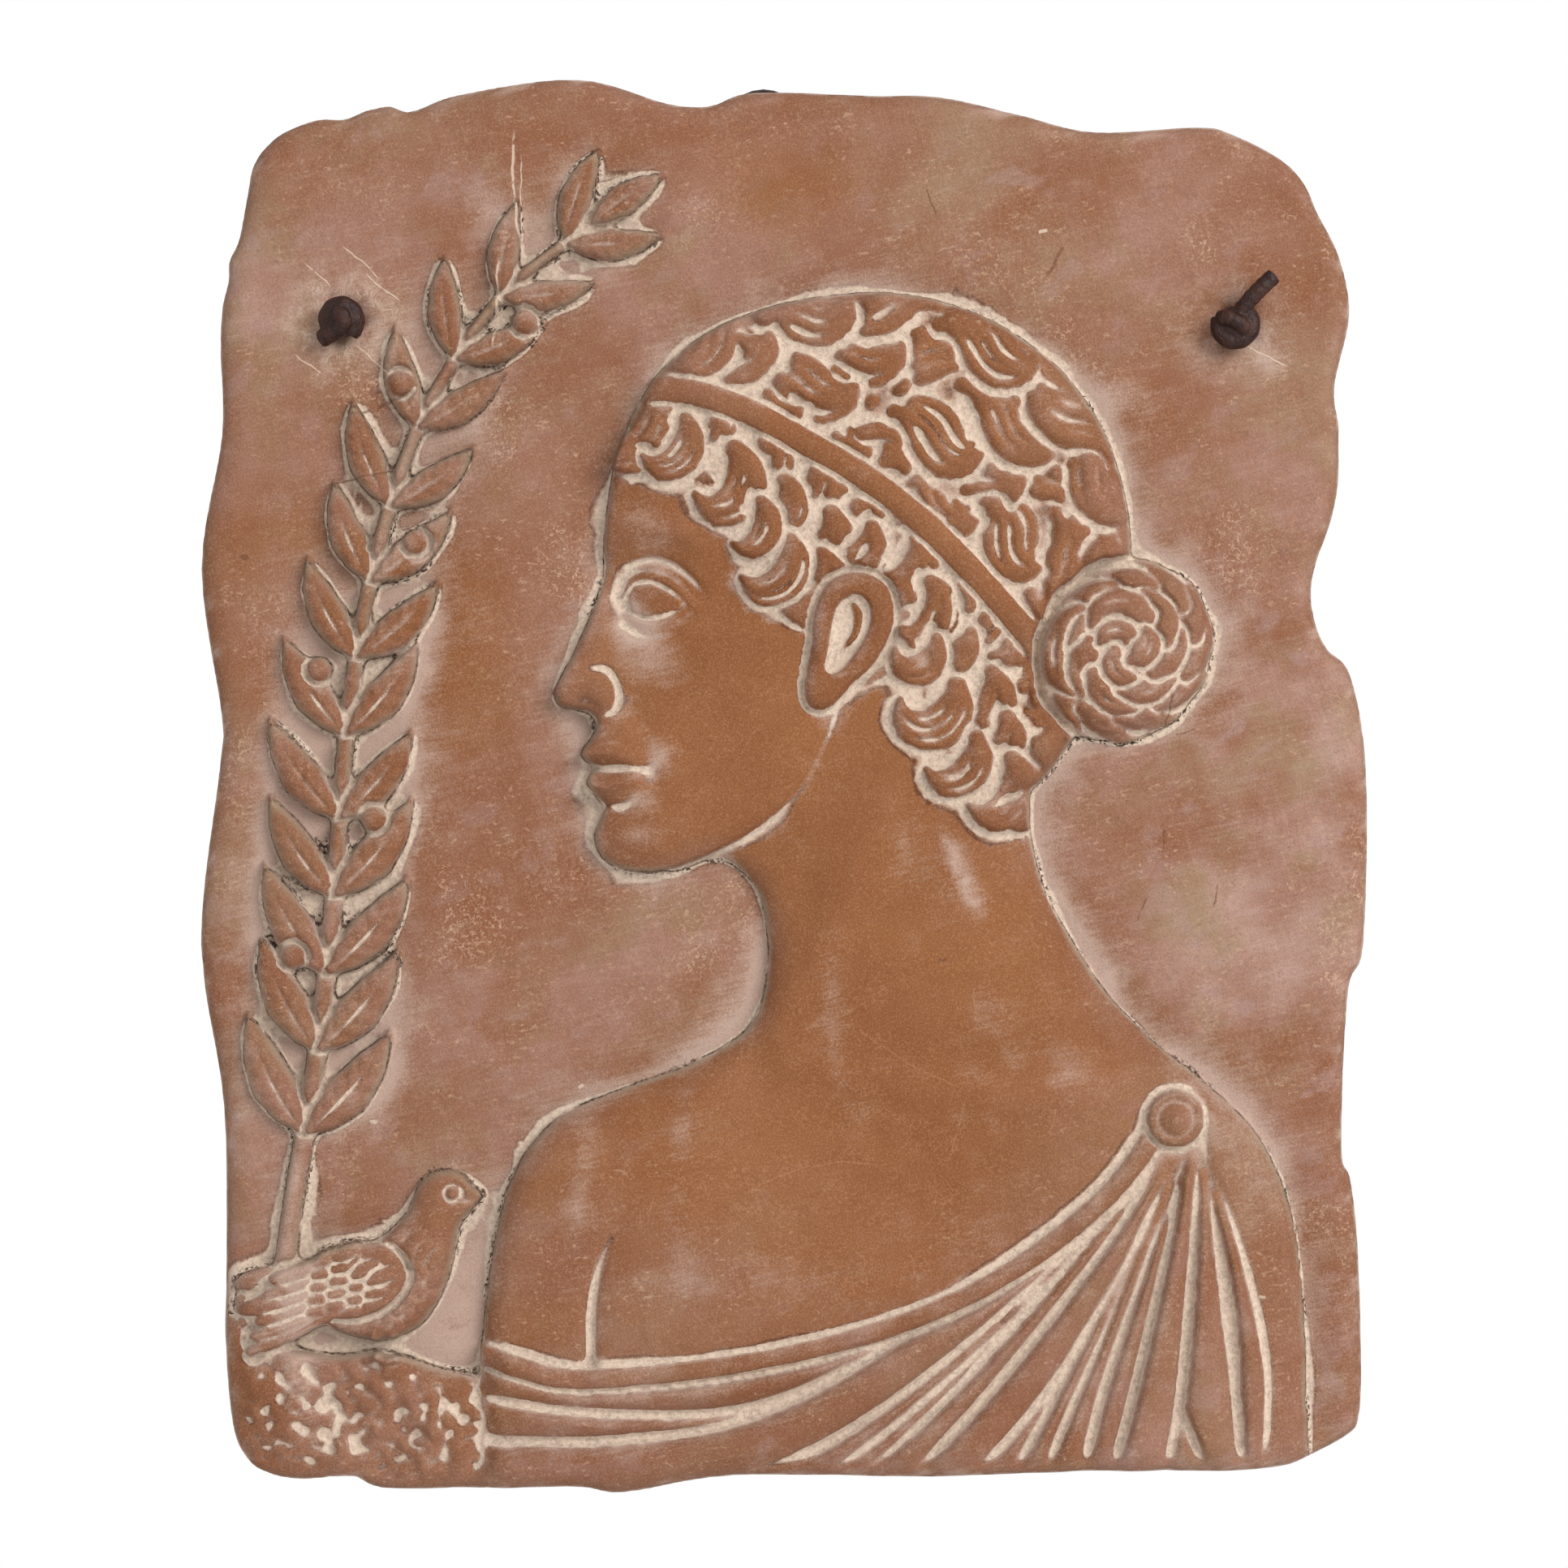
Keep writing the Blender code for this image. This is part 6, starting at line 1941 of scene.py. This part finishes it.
SCORED = listed(Mark,
    (-62.6, 138, -86, 28, 0.4, 90), (-66.3, 111, -94, 22, 0.42, -120), (-60.9, 136, -88, 20, 0.22),
    (-98, 121, -42, 12, 0.22), (-93, 115, -38, 11, 0.22), (-108, 118, -45, 9, 0.2),
    (-95, 98, -40, 12, 0.2), (-110, 97, -35, 9, 0.2), (112, 99, -30, 11, 0.22),
    (-95, -78, 0, 2.2, 0.6), (-47, -70, 30, 1.6, 0.5), (110, -118, 0, 1.8, 0.5),
    (60, 128, 10, 2.4, 0.5))
GRAZED = listed(Mark,
    (6, -88, 12, 38, 0.18, -46), (28, -64, -30, 30, 0.16, 70), (-14, -104, 40, 22, 0.16, 50),
    (40, -80, 75, 18, 0.15, 90), (104, 34, -62, 16, 0.2, 80), (97, -52, 64, 14, 0.2, -70),
    (-60, 30, -70, 17, 0.2, 60), (-20, 132, -20, 7, 0.25), (118, 60, 85, 6, 0.25),
    (96, 116, 40, 10, 0.22), (-10, -60, 88, 9, 0.16), (16, -52, 30, 8, 0.16, 40),
    (44, -52, 95, 12, 0.16, 120), (62, -78, 80, 7, 0.16), (-30, -96, 70, 8, 0.18, 30),
    (2, -112, 64, 7, 0.16), (34, -100, 50, 9, 0.16, -40), (76, 78, -50, 13, 0.16, 60),
    (82, 96, 8, 15, 0.18, 90), (36, 8, 84, 8, 0.15), (-8, 10, 60, 8, 0.14, 60))
STAINED = listed(Mark,
    (-92, 88, 22, 15, 0.5, 80), (-98, 71, 12, 19, 0.35, -90), (63, 121, 62, 9, 0.6, 60),
    (89, 17, 80, 9, 0.35, 30), (93, 12, 12, 5, 0.3, 30), (88, -13, 86, 6, 0.35, 60),
    (83, -29, 70, 7, 0.35, 40), (100, -26, 78, 6, 0.3), (-125, 52.6, 0, 2.2, 1.1, 300),
    (36.6, -40.4, 0, 2, 0.9, 300), (-40, 140, 15, 9, 0.3, 90), (34, 135, -70, 7, 0.3, 90))


class ClayRecipe(Recipe):
    """A recipe with the three noises that the layers of the clay share."""

    def __init__(self, name: str, colour: Value) -> None:
        """Start a material.

        Args:
            name: Its name.
            colour: Its first colour, which others are laid over.
        """
        super().__init__(name, colour)
        self.felt = self.noise(0.42, 3)
        self.mottle = self.noise(8, 4, seed=5)
        self.streaks = self.noise(0.8, 3, (15, 1, 1), 0.22, 7)


@dataclass(frozen=True)
class Terracotta:
    """Fired clay under a rubbed pale wash, with slip left in the recesses and painted shade in the
    shallower hollows round them.
    """

    clay: tuple = linear(114, 69, 38)
    deep: tuple = linear(95, 53, 27)
    painted_crevice_shade: tuple = linear(66, 36, 20)
    warm: tuple = linear(126, 82, 50)
    # painted shade: darker clay laid in hollows, standing in for the shade that falls there
    ground: tuple = linear(111, 70, 49)
    chalk: tuple = linear(146, 118, 108)
    cream: tuple = linear(183, 165, 148)
    grey: tuple = linear(149, 133, 118)
    dust: tuple = linear(158, 136, 124)
    soot: tuple = linear(44, 35, 30)
    foot: tuple = linear(104, 85, 71)
    stain: tuple = linear(82, 49, 33)
    graze: tuple = linear(149, 109, 78)
    rim: tuple = linear(100, 71, 57)
    pale: tuple = linear(184, 144, 109)
    shade: tuple = linear(62, 39, 24)
    flake: tuple = linear(160, 131, 109)
    lilac: tuple = linear(135, 109, 104)
    beige: tuple = linear(135, 114, 95)
    film: tuple = linear(129, 111, 93)
    front: float = -17.5
    haze: float = 0.95

    def material(self) -> Material:
        """Mix the clay.

        Returns:
            The material.
        """
        r = ClayRecipe("terracotta", self.deep)
        self.mix_body(r)
        self.rub_chalk(r)
        self.leave_slip(r)
        self.wear_rim(r)
        self.mark_front(r)
        r.lay(self.pale, r.ramp(r.felt, 0.46, 0.70), 0.15)
        r.lay(self.shade, r.ramp(r.felt, 0.54, 0.30), 0.15)
        roughness = r.node("ShaderNodeMapRange", [r.weight(Wash.RUBBED), 0.0, 1.0, 0.92, 0.8])
        return r.finish(roughness, (r.streaks, 0.05), (r.mottle, 0.12), (r.felt, 0.15))

    def mix_body(self, r: ClayRecipe) -> None:
        """Mix the clay itself, warmer and paler in large soft clouds, with painted shade in the
        shallower hollows just short of the slip.

        Args:
            r: The recipe.
        """
        slip, rubbed = r.weight(Wash.SLIP), r.weight(Wash.RUBBED)
        r.lay(self.warm, r.ramp(r.noise(46, 3, seed=21), 0.15, 0.85))
        r.lay(self.clay, 0.5)
        r.lay(self.warm, r.ramp(r.mottle, 0.35, 0.75), 0.3)
        r.lay(self.ground, r.ramp(r.weight(Wash.HAZE), 0.1, 0.5), 0.85)
        r.lay(self.deep, rubbed, 0.5)
        # painted shade: darker clay in the hollows just short of the slip, where shade would fall
        r.lay(self.painted_crevice_shade, r.ramp(slip, DRY - 0.56, DRY - 0.42), r.ramp(slip, DRY, DRY - 0.3),
              0.75)

    def rub_chalk(self, r: ClayRecipe) -> None:
        """Rub a chalky haze over it, thick on the ground and thin on the figures.

        Args:
            r: The recipe.
        """
        haze = r.weight(Wash.HAZE)
        clouds = r.noise(30, 4, (1.6, 1, 1), 0.4, 3)
        cross = r.noise(0.9, 3, (1, 1, 26), 0.3, 9)
        chalky = r.plus(*(r.times(r.ramp(noise, low, high), share) for noise, low, high, share in (
            (clouds, 0.34, 0.66, 0.6), (r.mottle, 0.35, 0.75, 0.25), (r.streaks, 0.42, 0.75, 0.14),
            (cross, 0.45, 0.75, 0.12))))
        tint = r.cover(self.chalk, self.beige, r.ramp(r.noise(20, 3, seed=43), 0.44, 0.60))
        r.lay(tint, chalky, haze, self.haze)
        r.lay(self.lilac, r.ramp(r.noise(11, 6, (1.5, 1, 1), 0.5, 33), 0.57, 0.64), haze, 0.4)
        for hole, share in zip(HOLES, (0.7, 0.3)):
            r.lay(self.cream, self.brushed(r, hole), r.ramp(haze, 0.05, 0.2), share)
        r.lay(self.flake, self.flaked(r), r.ramp(haze, 0.12, 0.4), 0.8)
        scuffs = r.ramp(r.noise(0.9, 4, (1.8, 1, 1), 0.1, 51), 0.58, 0.68)
        patchy = r.times(r.ramp(r.noise(9, 3, seed=55), 0.38, 0.66), r.ramp(haze, -0.1, 0.4))
        r.lay(self.flake, scuffs, patchy, 0.55)
        pits = r.ramp(r.noise(0.8, 4, (1.5, 1, 1), 0.1, 53), 0.60, 0.70)
        r.lay(self.shade, pits, r.mottle, 0.45)

    def brushed(self, r: ClayRecipe, hole: Point) -> Socket:
        """Brush slip outwards from a hole, in fine strokes.

        Args:
            r: The recipe.
            hole: The hole's place.

        Returns:
            Where the strokes are.
        """
        apart = r.vector("SUBTRACT", r.flat, (hole[0] - NAIL[0], 0, hole[1] - NAIL[1]))
        axes = r.node("ShaderNodeSeparateXYZ", [apart]).node.outputs
        out = r.reach(*hole)
        lean = r.times(r.noise(9, 2, seed=35), 2.2)
        angle = r.plus(r.math("ARCTAN2", axes["Z"], axes["X"]), lean)
        spokes = r.node("ShaderNodeCombineXYZ", [r.times(angle, 11.0), r.times(out, 0.12), 5.0])
        strokes = r.node("ShaderNodeTexNoise", {"Vector": spokes, "Scale": 2.2, "Detail": 2.5})
        ring = r.times(r.ramp(out, 18, 7), r.ramp(r.noise(4.5, 3, seed=36), 0.38, 0.62))
        return r.times(r.plus(r.times(r.ramp(strokes, 0.46, 0.62), 0.75), 0.25), ring)

    def flaked(self, r: ClayRecipe) -> Socket:
        """Scatter thin curled flakes of slip in loose clusters.

        Args:
            r: The recipe.

        Returns:
            Where they are.
        """
        curls = []
        for size, seed in ((1.7, 37), (2.6, 38)):
            off = r.math("ABSOLUTE", r.math("SUBTRACT", r.noise(size, 2, seed=seed), 0.5))
            broken = r.ramp(r.noise(1.2, 1, seed=seed + 2), 0.50, 0.58)
            curls.append(r.times(r.ramp(off, 0.032, 0.012), broken))
        off_figures = r.plus(r.times(r.ramp(r.weight(Wash.EDGE), 0.8, 0.3), 0.75), 0.25)
        return r.times(r.most(*curls), r.ramp(r.noise(24, 6, seed=41), 0.51, 0.68), off_figures)

    def leave_slip(self, r: ClayRecipe) -> None:
        """Leave slip in the recesses, with dust about it and soot at its foot.

        Args:
            r: The recipe.
        """
        broken = r.plus(r.times(r.mottle, 0.8), r.times(r.felt, 0.4), r.times(r.streaks, 0.5))
        broken = r.math("SUBTRACT", broken, 0.85)
        r.lay(self.dust, r.ramp(r.plus(r.weight(Wash.HALO), broken), 0.05, 1.0), 0.85)
        uneven = r.ripple(1.6, 31, 0.6)
        edge = r.plus(r.weight(Wash.EDGE), r.times(uneven, 0.10))
        film = r.times(r.ramp(edge, 0.45, 0.56), r.ramp(edge, 0.94, 0.62))
        r.lay(self.film, film, r.ramp(r.noise(12, 2, seed=45), 0.36, 0.58), 0.75)
        slip = r.ramp(r.plus(r.weight(Wash.SLIP), uneven), DRY - 0.3, DRY + 0.3)
        crumbs = r.ramp(r.noise(1.3, 3, seed=23), 0.42, 0.62)
        r.lay(r.cover(self.cream, self.grey, r.times(crumbs, 0.5)), slip, 0.95)
        grime = r.ramp(r.weight(Wash.SOOT), 0.2, 0.75)
        r.lay(self.foot, grime, r.ramp(r.mottle, 0.35, 0.6), 0.75)
        dark = r.times(r.ramp(edge, 0.38, 0.47), r.ramp(edge, 0.60, 0.50))
        gaps = r.ramp(r.noise(5, 3, seed=13), 0.34, 0.54)
        r.lay(self.foot, dark, gaps, 0.9)
        specks = r.ramp(r.noise(0.9, 2, seed=11), 0.50, 0.57)
        channel = r.times(r.ramp(edge, 0.16, 0.34), r.ramp(edge, 0.72, 0.5),
                          r.ramp(r.noise(17, 2, seed=57), 0.46, 0.60))
        damp = r.times(r.most(grime, dark, r.times(slip, 0.2)), gaps)
        r.lay(self.soot, specks, r.most(damp, channel))

    def wear_rim(self, r: ClayRecipe) -> None:
        """Darken and dust the rim, less on the walls behind it.

        Args:
            r: The recipe.
        """
        rim, depth = r.weight(Wash.RIM), self.depth(r)
        before = r.plus(r.times(r.ramp(depth, -13, -19), 0.7), 0.3)
        r.lay(self.rim, r.ramp(rim, 0.25, 0.9), r.ramp(r.mottle, 0.25, 0.55), 0.6)
        for low, high, noise, share in (
                (0.12, 0.7, r.ramp(r.noise(5, 4, (3, 1, 1), 0.4, 17), 0.5, 0.72), 0.55),
                (0.72, 0.92, r.ramp(r.noise(4, 3, seed=19), 0.4, 0.6), 0.7)):
            r.lay(self.dust, r.ramp(rim, low, high), noise, before, share)

    def mark_front(self, r: ClayRecipe) -> None:
        """Scratch and stain the front.

        Args:
            r: The recipe.
        """
        waver = r.ripple(5, 27, 1.6)
        gaps = r.ramp(r.noise(2.4, 3, seed=29), 0.30, 0.46)
        front = r.math("LESS_THAN", self.depth(r), self.front)
        for marks, paint, share in ((GRAZED, self.graze, 0.35), (SCORED, self.cream, 0.7),
                                    (STAINED, self.stain, 0.6)):
            lines = r.most(*(r.mark(mark, waver) for mark in marks))
            r.lay(paint, lines, gaps, front, share)

    @staticmethod
    def depth(r: Recipe) -> Socket:
        """How far behind the nail a place is, in millimetres."""
        return r.node("ShaderNodeSeparateXYZ", [r.place]).node.outputs["Y"]


@dataclass(frozen=True)
class Leather:
    """Dark round leather, a little waxed and creased."""

    dark: tuple = linear(33, 15, 10)
    worn: tuple = linear(62, 34, 25)

    def material(self) -> Material:
        """Mix the leather.

        Returns:
            The material.
        """
        r = Recipe("dark_leather", self.dark)
        creases = r.noise(0.8, 5)
        patches = r.noise(3.5, 3, seed=2)
        r.lay(self.worn, r.ramp(patches, 0.4, 0.7), 0.6)
        r.lay(self.worn, r.ramp(creases, 0.55, 0.72), 0.45)
        roughness = r.node("ShaderNodeMapRange", [patches, 0.3, 0.7, 0.26, 0.5])
        return r.finish(roughness, (patches, 0.4), (creases, 0.4))


@dataclass(frozen=True)
class Paper:
    """Plain pale floor."""

    colour: tuple = (0.82, 0.82, 0.82, 1.0)
    roughness: float = 0.9

    def material(self) -> Material:
        """Lay plain paper.

        Returns:
            The material.
        """
        material = bpy.data.materials.new("pale_floor")
        material.use_nodes = True
        shader = material.node_tree.nodes["Principled BSDF"]
        shader.inputs["Base Color"].default_value = self.colour
        shader.inputs["Roughness"].default_value = self.roughness
        return material


# ---- studio ----
@dataclass
class Studio:
    """Pale floor, soft light and the camera, in metres."""

    middle: Point = (-NAIL[0] * MM, -(BACK_GAP + THICKNESS) * MM, -NAIL[1] * MM)
    distance: float = 0.95
    frame_width: float = 0.3631
    sensor: float = 36.0
    floor_drop: float = 0.46
    floor_size: float = 1.9
    sky: float = 1.0
    sky_colour: tuple = (1.0, 1.0, 1.0, 1.0)
    key_offset: Point = (1.5, -1.85, 1.05)
    key_size: float = 1.5
    key_watts: float = 82.0

    def place_camera(self) -> None:
        """Look straight at the slab's front."""
        data = bpy.data.cameras.new("camera")
        data.sensor_width = self.sensor
        data.lens = self.sensor * self.distance / self.frame_width
        camera = linked("camera", data)
        camera.location = Vector(self.middle) - Vector((0, self.distance, 0))
        camera.rotation_euler = (math.pi / 2, 0, 0)
        bpy.context.scene.camera = camera

    def hang_light(self) -> None:
        """Hang one soft square light that faces the slab."""
        data = bpy.data.lights.new("key", "AREA")
        data.size = self.key_size
        data.energy = self.key_watts
        lamp = linked("key", data)
        lamp.location = Vector(self.middle) + Vector(self.key_offset)
        lamp.rotation_euler = (-Vector(self.key_offset)).to_track_quat("-Z", "Y").to_euler()

    def build(self) -> None:
        """Set up floor, sky, light and camera."""
        x, y, z = self.middle
        bpy.ops.mesh.primitive_plane_add(size=self.floor_size, location=(x, y, z - self.floor_drop))
        floor = bpy.context.object
        floor.name = "floor"
        floor.data.materials.append(Paper().material())
        world = bpy.data.worlds.new("sky")
        world.use_nodes = True
        background = world.node_tree.nodes["Background"]
        background.inputs["Color"].default_value = self.sky_colour
        background.inputs["Strength"].default_value = self.sky
        bpy.context.scene.world = world
        self.hang_light()
        self.place_camera()
        bpy.context.scene.view_settings.view_transform = "Standard"


# ---- making ----
def place_on_frame(piece: Object, node: Node) -> None:
    """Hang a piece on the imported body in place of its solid.

    Args:
        piece: The piece.
        node: The solid that it stands for.
    """
    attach(piece, "root")
    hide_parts(node.value)
    log.info("%s stands for %s", piece.name, node.value)


def main() -> None:
    """Build the studio, the lace and the slab, and log what each piece stands for and the slab's
    face count.
    """
    logging.basicConfig(level=logging.INFO, format="%(name)s: %(message)s")
    Studio().build()
    for piece in Lace().build(Leather().material()):
        place_on_frame(piece, Node.LACE)
    slab = Slab(Relief()).build(Terracotta().material())
    place_on_frame(slab, Node.PLAQUE)
    log.info("slab has %d faces", len(slab.data.polygons))


if __name__ == "__main__":
    main()
